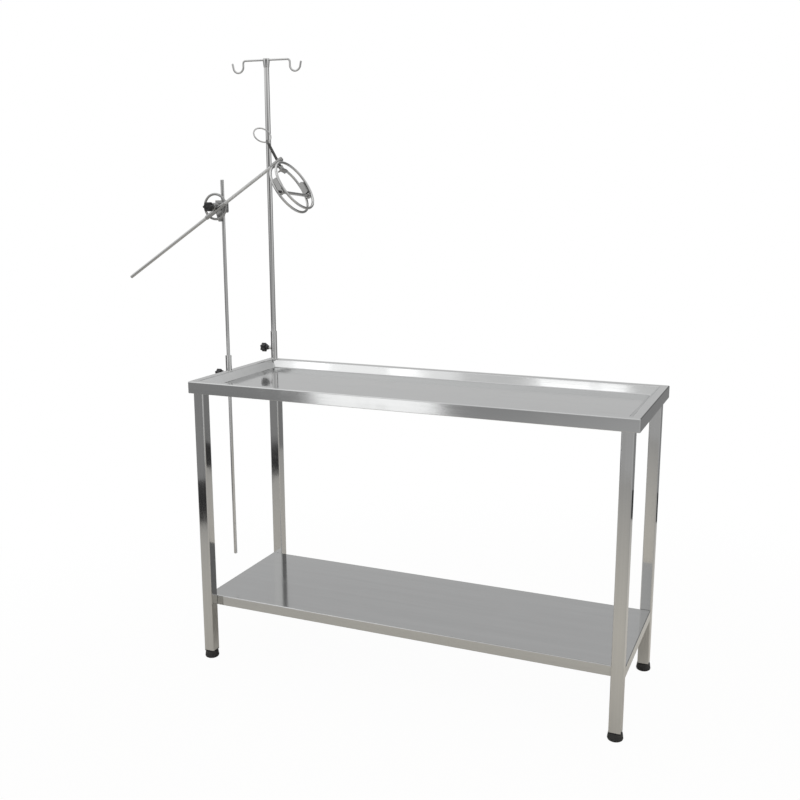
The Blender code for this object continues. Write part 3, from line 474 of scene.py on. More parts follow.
def unfolded(tree, place):
    """The place with X and Z swapped on faces that look along X, where the sheet was folded down."""
    split = tree.nodes.new("ShaderNodeSeparateXYZ")
    tree.links.new(place, split.inputs["Vector"])
    swapped = tree.nodes.new("ShaderNodeCombineXYZ")
    for near, far in (("X", "Z"), ("Y", "Y"), ("Z", "X")):
        tree.links.new(split.outputs[near], swapped.inputs[far])
    facing = tree.nodes.new("ShaderNodeSeparateXYZ")
    tree.links.new(tree.nodes.new("ShaderNodeNewGeometry").outputs["Normal"], facing.inputs["Vector"])
    choice = tree.nodes.new("ShaderNodeMix")
    choice.data_type = "VECTOR"
    ends = combine(tree, "GREATER_THAN", combine(tree, "ABSOLUTE", facing.outputs["X"]), END_FACING)
    tree.links.new(ends, choice.inputs["Factor"])
    vectors = [socket for socket in choice.inputs if socket.type == "VECTOR"]
    tree.links.new(place, vectors[-2])
    tree.links.new(swapped.outputs["Vector"], vectors[-1])
    return [socket for socket in choice.outputs if socket.type == "VECTOR"][0]


# %% Steel
MARK_SIZE = 0.09
MARK_DULLNESS = 0.05
STREAK_TONES = (0.98, 1.02)
LINE_BAND = (0.25, 0.75)
FINE = (900.0, 900.0, 900.0)


def steel_finish(name, colour, stretch, shine, relief, folded=False):
    """Steel with grain along the axis of the smallest stretch; shine is its lowest and highest roughness."""
    finish, tree, shader, place = new_finish(name)
    shader.inputs["Metallic"].default_value = 1.0
    if folded:
        place = unfolded(tree, place)
    grain = placed(tree, grain_group, place, "Stretch", stretch)
    marks = placed(tree, marks_group, place, "Size", MARK_SIZE)
    lines = spread(tree, grain["Lines"], LINE_BAND, shine)
    dulled = combine(tree, "MULTIPLY_ADD", marks["Marks"], MARK_DULLNESS, lines)
    tree.links.new(dulled, shader.inputs["Roughness"])
    darker, paler = [[tone * part for part in colour] for tone in STREAK_TONES]
    tree.links.new(tinted(tree, darker, paler, grain["Streaks"]), shader.inputs["Base Color"])
    roughen(tree, shader, grain["Lines"], relief)
    print("Steel finish", name)
    return finish


satin_sheet = steel_finish("satin_sheet", (0.575, 0.58, 0.58), (5.0, 900.0, 900.0), (0.07, 0.13), 0.10, True)
polished_tube = steel_finish("polished_tube", (0.60, 0.60, 0.595), (700.0, 700.0, 6.0), (0.04, 0.09), 0.05)
drawn_bar = steel_finish("drawn_bar", (0.53, 0.53, 0.525), (500.0, 500.0, 9.0), (0.09, 0.16), 0.06)
# This steel's colour is painted far darker than the other steels, as painted shade and painted dark
# reflection on the clamp and head pieces that wear it.
machined_steel = steel_finish(
    "machined_steel", (0.36, 0.36, 0.355), (260.0, 260.0, 900.0), (0.20, 0.32), 0.10
)
dark_screw = steel_finish("dark_screw", (0.10, 0.10, 0.10), FINE, (0.32, 0.42), 0.08)

# %% [markdown]
# The knobs are moulded black plastic with the fine matt skin of the mould, and the foot pads are a duller
# rubber. Both are never quite black: a little dust sits on them, and handling leaves smoother patches.

# %% Plastic and rubber
FINGER_MARK = 0.012
DUST_TONE = 0.06
DUST_SHARE = 0.6


def moulded_finish(name, colour, shine, skin, relief):
    """A black moulding: skin is the grain's fineness per metre, shine the lowest and highest roughness."""
    finish, tree, shader, place = new_finish(name)
    marks = placed(tree, marks_group, place, "Size", FINGER_MARK)
    tree.links.new(spread(tree, marks["Marks"], UNIT, shine), shader.inputs["Roughness"])
    dust = combine(tree, "MULTIPLY", marks["Dust"], DUST_SHARE)
    dusty = [part + DUST_TONE for part in colour]
    tree.links.new(tinted(tree, colour, dusty, dust), shader.inputs["Base Color"])
    roughen(tree, shader, cloud(tree, place, skin, 2.0), relief)
    return finish


FINISHES = {
    "stainless_sheet": satin_sheet,
    "stainless_tube": polished_tube,
    "polished_bar": drawn_bar,
    "dark_screw": dark_screw,
    "black_plastic": moulded_finish("black_plastic", (0.011, 0.011, 0.012), (0.26, 0.38), 2600.0, 0.15),
    "foot_rubber": moulded_finish("foot_rubber", (0.018, 0.018, 0.018), (0.55, 0.68), 1500.0, 0.45),
}
SLOT_OF = {part["node"]: part["material_slot"] for part in frame["record"]["subparts"]}
BODY_OF = {node: body for body, nodes in frame["record"]["behaviour"]["bodies"].items() for node in nodes}
for node, solid in NODES.items():
    solid.data.materials.clear()
    solid.data.materials.append(FINISHES[SLOT_OF[node]])
print("Every solid has its finish:", sorted(set(SLOT_OF.values())))

# %% [markdown]
# ## Tools of the workshop
# Blender's operators work on what is selected, so every piece starts with nothing selected, and faces or
# edges are picked by where they lie. The helpers below do that picking, apply modifiers, and hand a finished
# piece over to the frame: it is laid into place, goes onto the body of its solid, takes the finish of that
# solid's slot or a given one, and hides the solid.

# %% Opening, picking and growing
MERGE = 1e-6
SMOOTH_ANGLE = math.radians(32.0)
PARTS = {"VERT": "verts", "EDGE": "edges", "FACE": "faces"}


def make_active(piece):
    """Closes any open mesh and leaves only this piece selected."""
    begin()
    piece.select_set(True)
    bpy.context.view_layer.objects.active = piece


def open_mesh(kind="VERT"):
    """Opens the active piece for editing, with all of it selected."""
    bpy.ops.object.mode_set(mode="EDIT")
    bpy.ops.mesh.select_mode(type=kind)
    bpy.ops.mesh.select_all(action="SELECT")


def pick(kind, test):
    """Selects the vertices, edges or faces of the open mesh that pass a test, and says how many."""
    bpy.ops.mesh.select_mode(type=kind)
    bpy.ops.mesh.select_all(action="DESELECT")
    mesh = bmesh.from_edit_mesh(bpy.context.object.data)
    chosen = [item for item in getattr(mesh, PARTS[kind]) if test(item)]
    for item in chosen:
        item.select_set(True)
    mesh.select_flush_mode()
    bmesh.update_edit_mesh(bpy.context.object.data)
    return len(chosen)


def grow(step):
    """Extrudes what is selected by a step."""
    bpy.ops.mesh.extrude_region_move(TRANSFORM_OT_translate={"value": tuple(step)})


def round_picked(radius, steps):
    """Rounds the picked edges of the open mesh."""
    bpy.ops.mesh.bevel(offset=radius, segments=steps, affect="EDGES")


def clean_skin():
    """Merges doubles in the open mesh and turns its faces outwards."""
    bpy.ops.mesh.select_all(action="SELECT")
    bpy.ops.mesh.remove_doubles(threshold=MERGE)
    bpy.ops.mesh.normals_make_consistent(inside=False)


# %% Modifiers and cuts
def apply_modifiers(piece):
    """Applies a piece's modifiers in order."""
    make_active(piece)
    for modifier in list(piece.modifiers):
        bpy.ops.object.modifier_apply(modifier=modifier.name)


def ease_edges(piece, width, segments=3):
    """Rounds the sharp edges of a piece."""
    rounding = piece.modifiers.new("rounding", "BEVEL")
    rounding.width = width
    rounding.segments = segments
    rounding.limit_method = "ANGLE"
    rounding.angle_limit = SMOOTH_ANGLE
    rounding.use_clamp_overlap = True
    apply_modifiers(piece)


def give_wall(piece, thickness):
    """Gives an open skin a wall on its inner side."""
    wall = piece.modifiers.new("wall", "SOLIDIFY")
    wall.thickness = thickness
    wall.offset = -1.0
    wall.use_even_offset = True
    apply_modifiers(piece)


def cut(piece, *tools, operation="DIFFERENCE"):
    """The piece with tools cut out of it; the tools are used up."""
    for tool in tools:
        step = piece.modifiers.new("work", "BOOLEAN")
        step.operation = operation
        step.object = tool
        apply_modifiers(piece)
        bpy.data.objects.remove(tool)
    return piece


def fuse(piece, addition):
    """The piece with an addition grown onto it."""
    return cut(piece, addition, operation="UNION")


# %% Laying into place and handing over
def lay(piece, place):
    """Puts a piece made about the origin where a frame says, with the place in its mesh."""
    make_active(piece)
    piece.matrix_world = place
    bpy.ops.object.transform_apply(location=True, rotation=True, scale=True)
    return piece


def copied(piece, name, place):
    """A copy of a piece with its own mesh, laid somewhere else."""
    make_active(piece)
    bpy.ops.object.duplicate(linked=False)
    return lay(named(name), place)


def joined(piece, other):
    """One object from two."""
    make_active(piece)
    other.select_set(True)
    bpy.ops.object.join()
    return piece


def hand_over(piece, node, finish=None):
    """Lets a finished piece stand for a solid: it goes onto that solid's body, takes the finish of the
    solid's slot or a given one, and the solid is hidden.
    """
    make_active(piece)
    bpy.ops.object.shade_smooth_by_angle(angle=SMOOTH_ANGLE)
    flat_faces = piece.modifiers.new("flat_faces", "WEIGHTED_NORMAL")
    flat_faces.keep_sharp = True
    apply_modifiers(piece)
    piece.data.materials.clear()
    piece.data.materials.append(finish or FINISHES[SLOT_OF[node]])
    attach(piece, BODY_OF[node])
    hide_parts(node)
    print(piece.name, "stands for", node, "with", len(piece.data.polygons), "faces")


# %% [markdown]
# ## The folded top
# The top is one sheet of 1.5 mm steel: a sunken floor, a slope, a flat rim, an apron folded down and a short
# return that hides the raw edge. It could be a box with a hole cut in it, but a folded sheet has an underside
# that a viewer sees from below, so a flat plane is folded as the shop folds it and only then gets a wall.

# %% Folding the top from a plane
SHEET = 0.0015
RIM_FLAT = 0.0245
RIM_SLOPE = 0.022
BASIN_DEPTH = 0.022
APRON_RETURN = 0.005


def flat_sheet(name, node):
    """A plane over the whole top of a solid, open for editing, with the solid's size and middle."""
    low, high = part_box(node)
    begin()
    bpy.ops.mesh.primitive_plane_add(size=1.0)
    sheet = named(name)
    open_mesh("FACE")
    bpy.ops.transform.resize(value=(high.x - low.x, high.y - low.y, 1.0))
    bpy.ops.transform.translate(value=((low.x + high.x) / 2, (low.y + high.y) / 2, high.z))
    return sheet, high - low, (low + high) / 2


def fold_down(size, centre, turn_in):
    """Folds the sheet's border down by the solid's height, and its edge inwards again."""
    pick("EDGE", lambda edge: edge.is_boundary)
    bpy.ops.mesh.extrude_edges_move(TRANSFORM_OT_translate={"value": (0.0, 0.0, -size.z)})
    bpy.ops.mesh.extrude_edges_move()
    ratio = (1.0 - 2 * turn_in / size.x, 1.0 - 2 * turn_in / size.y, 1.0)
    bpy.ops.transform.resize(value=ratio, center_override=(centre.x, centre.y, 0.0))


top, top_size, top_middle = flat_sheet("folded_top", "table_top")
bpy.ops.mesh.inset(thickness=RIM_FLAT, depth=0.0)
bpy.ops.mesh.inset(thickness=RIM_SLOPE, depth=-BASIN_DEPTH)
fold_down(top_size, top_middle, APRON_RETURN)
top_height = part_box("table_top")[1].z
apron_foot = top_height - top_size.z
print("The flat sheet has", len(bmesh.from_edit_mesh(top.data).faces), "faces, from rim to return")

# %% [markdown]
# A press brake can't fold a sharp edge, so each fold gets a small radius. The level folds and the four
# upright corners are bevelled together, because only then do they meet in a clean ball.

# %% Rounding the folds
FOLD_RADIUS = 0.003
FOLD_STEPS = 4


def along(edge):
    """The direction of an edge."""
    return (edge.verts[0].co - edge.verts[1].co).normalized()


def is_level(edge):
    """Whether an edge lies level."""
    return abs(edge.verts[0].co.z - edge.verts[1].co.z) < MERGE


def height_of(edge):
    """The mean height of an edge."""
    return (edge.verts[0].co.z + edge.verts[1].co.z) / 2


def is_folded(edge):
    """Whether the sheet turns sharply at an edge."""
    return len(edge.link_faces) == 2 and edge.calc_face_angle(0.0) > SMOOTH_ANGLE


def is_top_fold(edge):
    """A level fold of the rim or the slope, or an upright corner of the apron."""
    if not is_folded(edge) or height_of(edge) < apron_foot + MERGE:
        return False
    return is_level(edge) or abs(along(edge).z) > 0.99


def is_return_fold(edge):
    """The fold between the apron and its return."""
    return is_folded(edge) and is_level(edge) and abs(height_of(edge) - apron_foot) < MERGE


def face_up(sheet):
    """Turns an open sheet's faces to its upper side and gives it a wall below them."""
    bpy.ops.mesh.select_all(action="SELECT")
    bpy.ops.mesh.normals_make_consistent(inside=False)
    largest = max(bmesh.from_edit_mesh(sheet.data).faces, key=lambda face: face.calc_area())
    if largest.normal.z < 0:
        bpy.ops.mesh.flip_normals()
    give_wall(sheet, SHEET)


folds = pick("EDGE", is_top_fold)
round_picked(FOLD_RADIUS, FOLD_STEPS)
returns = pick("EDGE", is_return_fold)
round_picked(SHEET, 2)
face_up(top)
print("Rounded", folds, "folds and", returns, "edges of the return")

# %% [markdown]
# ## Turned pieces
# Bars, tubes, collars, washers and feet are round, so they share one way of working: half of the outline is
# drawn by extruding a single vertex from point to point, and is then spun about the axis as on a lathe.
# Drills for the Boolean cuts are made the same way. A piece that lies along another axis is turned when it is
# laid into place.

# %% The lathe
ALONG_X = Matrix.Rotation(math.pi / 2, 4, "Y")
ALONG_MINUS_X = Matrix.Rotation(-math.pi / 2, 4, "Y")
ALONG_Y = Matrix.Rotation(-math.pi / 2, 4, "X")
ALONG_MINUS_Y = Matrix.Rotation(math.pi / 2, 4, "X")
ROUND_SIDES = 48


def drawn_line(name, points):
    """A row of edges through points, drawn by extruding one vertex again and again."""
    begin()
    bpy.ops.mesh.primitive_plane_add(size=0.01)
    line = named(name)
    open_mesh()
    bpy.ops.mesh.merge(type="CENTER")
    bpy.ops.transform.translate(value=tuple(points[0]))
    for here, after in zip(points, points[1:]):
        grow(Vector(after) - Vector(here))
    return line


def turned(name, outline, sides=ROUND_SIDES, hollow=False):
    """A round piece about Z from (radius, height) points; a hollow one closes its outline."""
    points = [(radius, 0.0, height) for radius, height in outline]
    piece = drawn_line(name, points + points[:1] if hollow else points)
    bpy.ops.mesh.select_all(action="SELECT")
    bpy.ops.mesh.spin(steps=sides, angle=math.tau, center=(0.0, 0.0, 0.0), axis=(0.0, 0.0, 1.0))
    clean_skin()
    begin()
    return piece


def tube(name, inner, outer, low, high):
    """A plain tube about Z."""
    return turned(name, [(inner, low), (outer, low), (outer, high), (inner, high)], hollow=True)


def drill(radius, low, high, place=Matrix.Identity(4), sides=32):
    """A round tool along the Z axis of a place."""
    return lay(turned("drill", [(0.0, low), (radius, low), (radius, high), (0.0, high)], sides), place)


def up(height):
    """A frame at a height on the Z axis."""
    return Matrix.Translation((0.0, 0.0, height))


# %% Holes in the top
CLEAR = 0.0003
SCREW_RADIUS = 0.003
UPRIGHTS = {"pole": POLE, "rod": ROD}

knob_heights = {name: JOINTS[f"{name}_knob_turn"]["pos_m"][2] for name in UPRIGHTS}
SCREW_LINES = {name: place @ up(knob_heights[name]) @ ALONG_MINUS_X for name, place in UPRIGHTS.items()}
sockets = {name: extent(f"{name}_socket", place) for name, place in UPRIGHTS.items()}
for name, place in UPRIGHTS.items():
    hole_radius = sockets[name][1].x + CLEAR
    cut(top, drill(hole_radius, top_height - BASIN_DEPTH, top_height + SHEET, place))
cut(top, drill(SCREW_RADIUS + CLEAR, 0.0, 2 * RIM_FLAT, SCREW_LINES["rod"]))
hand_over(top, "table_top")

# %% [markdown]
# ## The shelf
# The shelf is a shallow tray turned upside down: a flat sheet whose four sides are folded down between the
# legs. Its raw edge is turned in by a narrow hem, so that nobody is cut by it. It is folded like the top.

# %% Folding the shelf
SHELF_HEM = 0.008
SHELF_FOLD = 0.0025

shelf, shelf_size, shelf_middle = flat_sheet("folded_shelf", "lower_shelf")
fold_down(shelf_size, shelf_middle, SHELF_HEM)
pick("EDGE", is_folded)
round_picked(SHELF_FOLD, FOLD_STEPS)
face_up(shelf)
hand_over(shelf, "lower_shelf")

# %% [markdown]
# ## Legs
# Each leg is a square tube, 32 mm across, with rolled corners and open ends. A box loses its two end faces,
# its upright edges are rounded and the skin gets a wall. One leg is made and the other three are copied.

# %% Square tubes
CORNERS = ("front_left", "front_right", "back_left", "back_right")
LEG_WALL = 0.0015
LEG_CORNER = 0.003


def open_box(name, size, centre):
    """A box about a centre, open for editing."""
    begin()
    bpy.ops.mesh.primitive_cube_add(size=1.0)
    piece = named(name)
    open_mesh()
    bpy.ops.transform.resize(value=tuple(size))
    bpy.ops.transform.translate(value=tuple(centre))
    return piece


def hand_over_four(piece, name, node, place_of):
    """Lets a piece and three copies of it stand for the solids at the table's corners."""
    for corner in CORNERS[1:]:
        twin = copied(piece, f"{name}_{corner}", place_of(f"{node}_{corner}"))
        hand_over(twin, f"{node}_{corner}")
    piece.name = f"{name}_{CORNERS[0]}"
    hand_over(lay(piece, place_of(f"{node}_{CORNERS[0]}")), f"{node}_{CORNERS[0]}")


leg_low, leg_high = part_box("leg_front_left")
leg = open_box("leg", leg_high - leg_low, (0.0, 0.0, 0.0))
pick("FACE", lambda face: abs(face.normal.z) > 0.9)
bpy.ops.mesh.delete(type="FACE")
pick("EDGE", lambda edge: not is_level(edge))
round_picked(LEG_CORNER, 5)
give_wall(leg, LEG_WALL)
hand_over_four(leg, "leg_tube", "leg", lambda node: Matrix.Translation(middle(node)))

# %% [markdown]
# ## Levelling feet
# A foot is a rubber pad on a threaded stem. The pad is turned with a rounded shoulder, two grip grooves and a
# hollow underside, so that only its rim stands on the floor. For the thread, a zigzag of one pitch is wound
# up by the Screw modifier, and the two ragged ends are sliced off flat.

# %% A threaded bar
STEM_PITCH = 0.0015
THREAD_DEPTH = 0.6
THREAD_CREST = 0.12


def slice_off(piece, height, keep_above):
    """Cuts a piece flat at a height, closes the cut and leaves the mesh open."""
    make_active(piece)
    open_mesh()
    bpy.ops.mesh.bisect(
        plane_co=(0.0, 0.0, height), plane_no=(0.0, 0.0, 1.0),
        use_fill=True, clear_inner=keep_above, clear_outer=not keep_above,
    )


def threaded(name, radius, pitch, low, high, sides=32):
    """A bar about Z with a thread from low to high."""
    root = radius - THREAD_DEPTH * pitch
    crest = THREAD_CREST * pitch
    start = low - 1.5 * pitch
    flanks = [(root, 0.0), (radius, 0.5 * pitch - crest), (radius, 0.5 * pitch + crest), (root, pitch)]
    bar = drawn_line(name, [(reach, 0.0, start + rise) for reach, rise in flanks])
    begin()
    winding = bar.modifiers.new("winding", "SCREW")
    winding.screw_offset = pitch
    winding.iterations = math.ceil((high - low) / pitch) + 3
    winding.steps = sides
    winding.render_steps = sides
    winding.use_merge_vertices = True
    winding.merge_threshold = MERGE
    apply_modifiers(bar)
    slice_off(bar, low, keep_above=True)
    slice_off(bar, high, keep_above=False)
    clean_skin()
    begin()
    return bar


stem_low, stem_high = extent("foot_stem_front_left", under("foot_stem_front_left"))
stem = threaded("stem", stem_high.x, STEM_PITCH, stem_low.z, stem_high.z)
hand_over_four(stem, "foot_thread", "foot_stem", under)

# %% Rubber pads
PAD_TOP_RADIUS = 0.0187
PAD_HOLLOW = 0.0015
GROOVE = 0.0008
PAD_EASE = 0.0003
PAD_SIDE = (
    (0.0085, PAD_HOLLOW), (0.0070, 0.0), (0.0035, 0.0), (0.0012, 0.0016), (0.0, 0.0050),
    (0.0002, 0.0072), (0.0002 + GROOVE, 0.0078), (0.0004, 0.0084),
    (0.0006, 0.0100), (0.0006 + GROOVE, 0.0106), (0.0008, 0.0112),
)
PAD_SHOULDER = ((0.0, 0.0020), (0.0006, 0.0006), (0.0020, 0.0))

pad_high = extent("foot_pad_front_left", under("foot_pad_front_left"))[1]
stem_seat = stem_high.x + CLEAR
pad = turned("pad", [
    (0.0, PAD_HOLLOW),
    *((pad_high.x - inset, height) for inset, height in PAD_SIDE),
    *((PAD_TOP_RADIUS - inset, pad_high.z - drop) for inset, drop in PAD_SHOULDER),
    (stem_seat, pad_high.z), (stem_seat, stem_low.z - CLEAR), (0.0, stem_low.z - CLEAR),
])
ease_edges(pad, PAD_EASE, 2)
hand_over_four(pad, "rubber_pad", "foot_pad", under)

# %% [markdown]
# ## Pole and rod
# The infusion pole is a round tube and the upright rod is a solid bar. Both are turned, with ends that are
# deburred in the way a tube cutter or a file leaves them.

# %% The tube and the bar
POLE_WALL = 0.0012
POLE_DEBURR = 0.0005
ROD_CHAMFER = 0.0012


def round_bar(name, radius, low, high, chamfer):
    """A solid bar about Z with chamfered ends."""
    bar = turned(name, [
        (0.0, low), (radius - chamfer, low), (radius, low + chamfer),
        (radius, high - chamfer), (radius - chamfer, high), (0.0, high),
    ])
    ease_edges(bar, chamfer * 0.4, 2)
    return bar


pole_low, pole_high = extent("infusion_pole", POLE)
pole_radius = pole_high.x
pole = tube("pole_tube", pole_radius - POLE_WALL, pole_radius, pole_low.z, pole_high.z)
ease_edges(pole, POLE_DEBURR, 2)
hand_over(lay(pole, POLE), "infusion_pole")
rod_low, rod_high = extent("upright_rod", ROD)
rod_radius = rod_high.x
rod = round_bar("rod_bar", rod_radius, rod_low.z, rod_high.z, ROD_CHAMFER)
hand_over(lay(rod, ROD), "upright_rod", polished_tube)

# %% [markdown]
# ## Sockets and their welds
# The pole and the rod stand in short sleeves that are welded into the rim. A weld isn't a smooth ring: the
# puddle leaves small ripples as it goes round. A torus gives the bead its round, and its vertices are then
# swollen and pinched along the way. The sleeve, its hole for the clamp screw and the bead become one piece.

# %% Sleeves with weld beads
SLEEVE_EDGE = 0.0008
BEAD = 0.0016
BEAD_GAP = 0.0003
RIPPLES = 38
RIPPLE_SWELL = 0.10
WANDER_SWELL = 0.06


def weld_bead(radius, height):
    """A rippled ring of weld metal about Z."""
    begin()
    bpy.ops.mesh.primitive_torus_add(
        major_radius=radius, minor_radius=BEAD, major_segments=6 * RIPPLES, minor_segments=12
    )
    ring = bpy.context.object
    for vertex in ring.data.vertices:
        angle = math.atan2(vertex.co.y, vertex.co.x)
        core = Vector((radius * math.cos(angle), radius * math.sin(angle), 0.0))
        swell = 1.0 + RIPPLE_SWELL * math.sin(RIPPLES * angle) + WANDER_SWELL * math.sin(5 * angle + 1.0)
        vertex.co = core + (vertex.co - core) * swell
    return lay(ring, up(height))


for name, inner in (("pole", pole_radius + CLEAR), ("rod", rod_radius + CLEAR)):
    low, high = sockets[name]
    sleeve = tube(f"{name}_sleeve", inner, high.x, low.z, high.z)
    ease_edges(sleeve, SLEEVE_EDGE)
    cut(sleeve, drill(SCREW_RADIUS + CLEAR, 0.0, 2 * high.x, up(knob_heights[name]) @ ALONG_MINUS_X))
    joined(sleeve, weld_bead(high.x + BEAD_GAP, top_height))
    hand_over(lay(sleeve, UPRIGHTS[name]), f"{name}_socket")

# %% [markdown]
# ## Clamp screws and bosses
# A thin sleeve can't hold a thread, so a boss is welded on its side and the clamp screw runs in that. The
# boss is turned, saddled onto the sleeve with a Boolean cut, and its outer edge is rounded. The screw is the
# same wound thread as the feet's, with a plain tip that presses on the bar.

# %% Bosses and screws
BOSS_RADIUS = 0.006
BOSS_CHAMFER = 0.0010
BOSS_MOUTH = 0.0006
SADDLE = 0.4
SCREW_PITCH = 0.001
TIP_LENGTH = 0.0025
TIP_CHAMFER = 0.0004
TIP_UNDERCUT = 0.65


def boss(name, socket_radius, length):
    """A boss along Z, saddled onto a sleeve that lies across it."""
    inner = SCREW_RADIUS + CLEAR
    foot = socket_radius * SADDLE
    piece = turned(name, [
        (inner, foot), (BOSS_RADIUS, foot),
        (BOSS_RADIUS, length - BOSS_CHAMFER), (BOSS_RADIUS - BOSS_CHAMFER, length),
        (inner + BOSS_MOUTH, length), (inner, length - BOSS_MOUTH),
    ], hollow=True)
    return cut(piece, drill(socket_radius + CLEAR, -2 * BOSS_RADIUS, 2 * BOSS_RADIUS, ALONG_X))


def clamp_screw(name, radius, low, high):
    """A threaded screw along Z with a plain tip at its low end."""
    thread = threaded(name, radius, SCREW_PITCH, low + TIP_LENGTH, high, sides=24)
    tip_radius = radius - TIP_UNDERCUT * SCREW_PITCH
    tip_end = low + 1.5 * TIP_LENGTH
    tip = turned("tip", [
        (0.0, low), (tip_radius - TIP_CHAMFER, low), (tip_radius, low + TIP_CHAMFER),
        (tip_radius, tip_end), (0.0, tip_end),
    ], 24)
    return joined(thread, tip)


for name, line in SCREW_LINES.items():
    boss_end = extent(f"{name}_socket_boss", line)[1].z
    hand_over(lay(boss(f"{name}_boss", sockets[name][1].x, boss_end), line), f"{name}_socket_boss")
    low, high = extent(f"{name}_clamp_screw", line)
    screw = clamp_screw(f"{name}_screw_thread", SCREW_RADIUS, low.z, high.z)
    hand_over(lay(screw, line), f"{name}_clamp_screw")

# %% [markdown]
# ## Star knobs
# Three black star knobs tighten the table's clamps. A knob is a moulding: six lobes for the fingers, rounded
# edges so that it comes out of its mould, a shallow dish with a press-in cap on the front, and a hub that
# holds the screw. A circle with many corners is pulled in between the lobes, extruded, bevelled and dished.

# %% Moulding a star knob
KNOB_LOBES = 6
KNOB_WAIST = 0.0036
KNOB_EDGE = 0.002
HUB_RADIUS = 0.0072
HUB_LENGTH = 0.008
HUB_EASE = 0.0006
KNOB_BORE = 0.016
CAP_RADIUS = 0.0058
CAP_PLAY = 0.0003
DISH_DEPTH = 0.0012
DISH_FLARE = 0.0004
PIVOT = CLAMP @ ALONG_MINUS_Y


def star_knob(name, radius, height, bore):
    """A knob along Z: its hub starts at z = 0 and the lobes end at its height."""
    begin()
    bpy.ops.mesh.primitive_circle_add(vertices=16 * KNOB_LOBES, radius=radius, fill_type="NGON")
    knob = named(name)
    for vertex in knob.data.vertices:
        angle = math.atan2(vertex.co.y, vertex.co.x)
        waist = KNOB_WAIST * (0.5 - 0.5 * math.cos(KNOB_LOBES * angle))
        vertex.co *= 1.0 - waist / radius
    open_mesh()
    bpy.ops.transform.translate(value=(0.0, 0.0, HUB_LENGTH))
    grow((0.0, 0.0, height - HUB_LENGTH))
    clean_skin()
    pick("EDGE", is_level)
    round_picked(KNOB_EDGE, 5)
    hub = turned("hub", [
        (0.0, 0.0), (HUB_RADIUS - HUB_EASE, 0.0), (HUB_RADIUS, HUB_EASE),
        (HUB_RADIUS + 0.0004, HUB_LENGTH - 0.0004),
        (HUB_RADIUS + 0.0016, HUB_LENGTH + HUB_EASE), (0.0, HUB_LENGTH + HUB_EASE),
    ])
    dish = turned("dish", [
        (0.0, height - DISH_DEPTH), (CAP_RADIUS, height - DISH_DEPTH),
        (CAP_RADIUS + DISH_FLARE, height + 0.0002), (CAP_RADIUS + DISH_FLARE, height + 0.0020),
        (0.0, height + 0.0020),
    ])
    cap = turned("cap", [
        (0.0, height - 0.0016), (CAP_RADIUS - CAP_PLAY, height - 0.0016),
        (CAP_RADIUS - CAP_PLAY, height - 0.0006), (CAP_RADIUS - 0.0008, height - 0.0002),
        (CAP_RADIUS * 0.5, height - 0.00005), (0.0, height),
    ])
    cut(fuse(knob, hub), dish, drill(bore, -0.001, KNOB_BORE))
    return joined(knob, cap)


for name, place, screw_node in (
    ("pole", SCREW_LINES["pole"], "pole_clamp_screw"),
    ("rod", SCREW_LINES["rod"], "rod_clamp_screw"),
    ("clamp", PIVOT, "clamp_pivot_screw"),
):
    low, high = extent(f"{name}_knob", place)
    bore = extent(screw_node, place)[1].x + CLEAR
    knob = star_knob(f"{name}_star_knob", high.x, high.z - low.z, bore)
    hand_over(lay(knob, place @ up(low.z)), f"{name}_knob")

# %% [markdown]
# ## Hook head
# Two bag hooks are bent from one 6 mm bar that passes through a tapered collar on the pole. A curve with a
# round bevel would do, but a bar is bent in a jig as straight, arc, straight, arc, and the operators can do
# just that: an end ring is extruded along each straight and spun round each bend. One half is bent and then
# mirrored.

# %% The collar
COLLAR_SPIGOT = 0.020
COLLAR_FOOT_RADIUS = 0.0088
COLLAR_EASE = 0.0005
COLLAR_LAND = 0.0030
COLLAR_SHOULDER = 0.0042
SPIGOT_CHAMFER = 0.0008
COLLAR_CROWN = 0.0016

collar_low, collar_high = extent("hook_collar", HOOK)
bar_high = extent("hook_bar", HOOK)[1]
bar_radius = bar_high.y
bar_height = bar_high.z - bar_radius
collar_foot = collar_low.z + COLLAR_SPIGOT + CLEAR
spigot_radius = pole_radius - POLE_WALL - CLEAR
collar = turned("tapered_collar", [
    (0.0, collar_low.z), (spigot_radius - SPIGOT_CHAMFER, collar_low.z),
    (spigot_radius, collar_low.z + SPIGOT_CHAMFER), (spigot_radius, collar_foot),
    (COLLAR_FOOT_RADIUS - COLLAR_EASE, collar_foot), (COLLAR_FOOT_RADIUS, collar_foot + COLLAR_EASE),
    (COLLAR_FOOT_RADIUS + 0.0001, collar_foot + COLLAR_LAND), (collar_high.x, bar_height - COLLAR_SHOULDER),
    (collar_high.x, collar_high.z - COLLAR_CROWN),
    (collar_high.x - COLLAR_CROWN, collar_high.z - 0.0002), (0.0, collar_high.z),
])
cut(collar, drill(bar_radius + CLEAR, -0.03, 0.03, up(bar_height) @ ALONG_X))
hand_over(lay(collar, HOOK), "hook_collar", polished_tube)

# %% A bar in the bending jig
DOME = 0.8


def open_ring(name, radius, sides, turn, location=(0.0, 0.0, 0.0)):
    """The round outline of a bar, open for editing."""
    begin()
    bpy.ops.mesh.primitive_circle_add(
        vertices=sides, radius=radius, fill_type="NOTHING", location=location, rotation=turn
    )
    ring = named(name)
    bpy.ops.object.transform_apply(location=True, rotation=True, scale=True)
    open_mesh()
    return ring


def ring_middle():
    """The middle of the selected end ring."""
    ring = [vertex.co for vertex in bmesh.from_edit_mesh(bpy.context.object.data).verts if vertex.select]
    return sum(ring, Vector()) / len(ring)


def bend(steps, angle, centre, axis):
    """Spins the selected end ring round a bend, right-handed about an axis."""
    bpy.ops.mesh.spin(steps=steps, angle=-angle, center=tuple(centre), axis=tuple(axis))


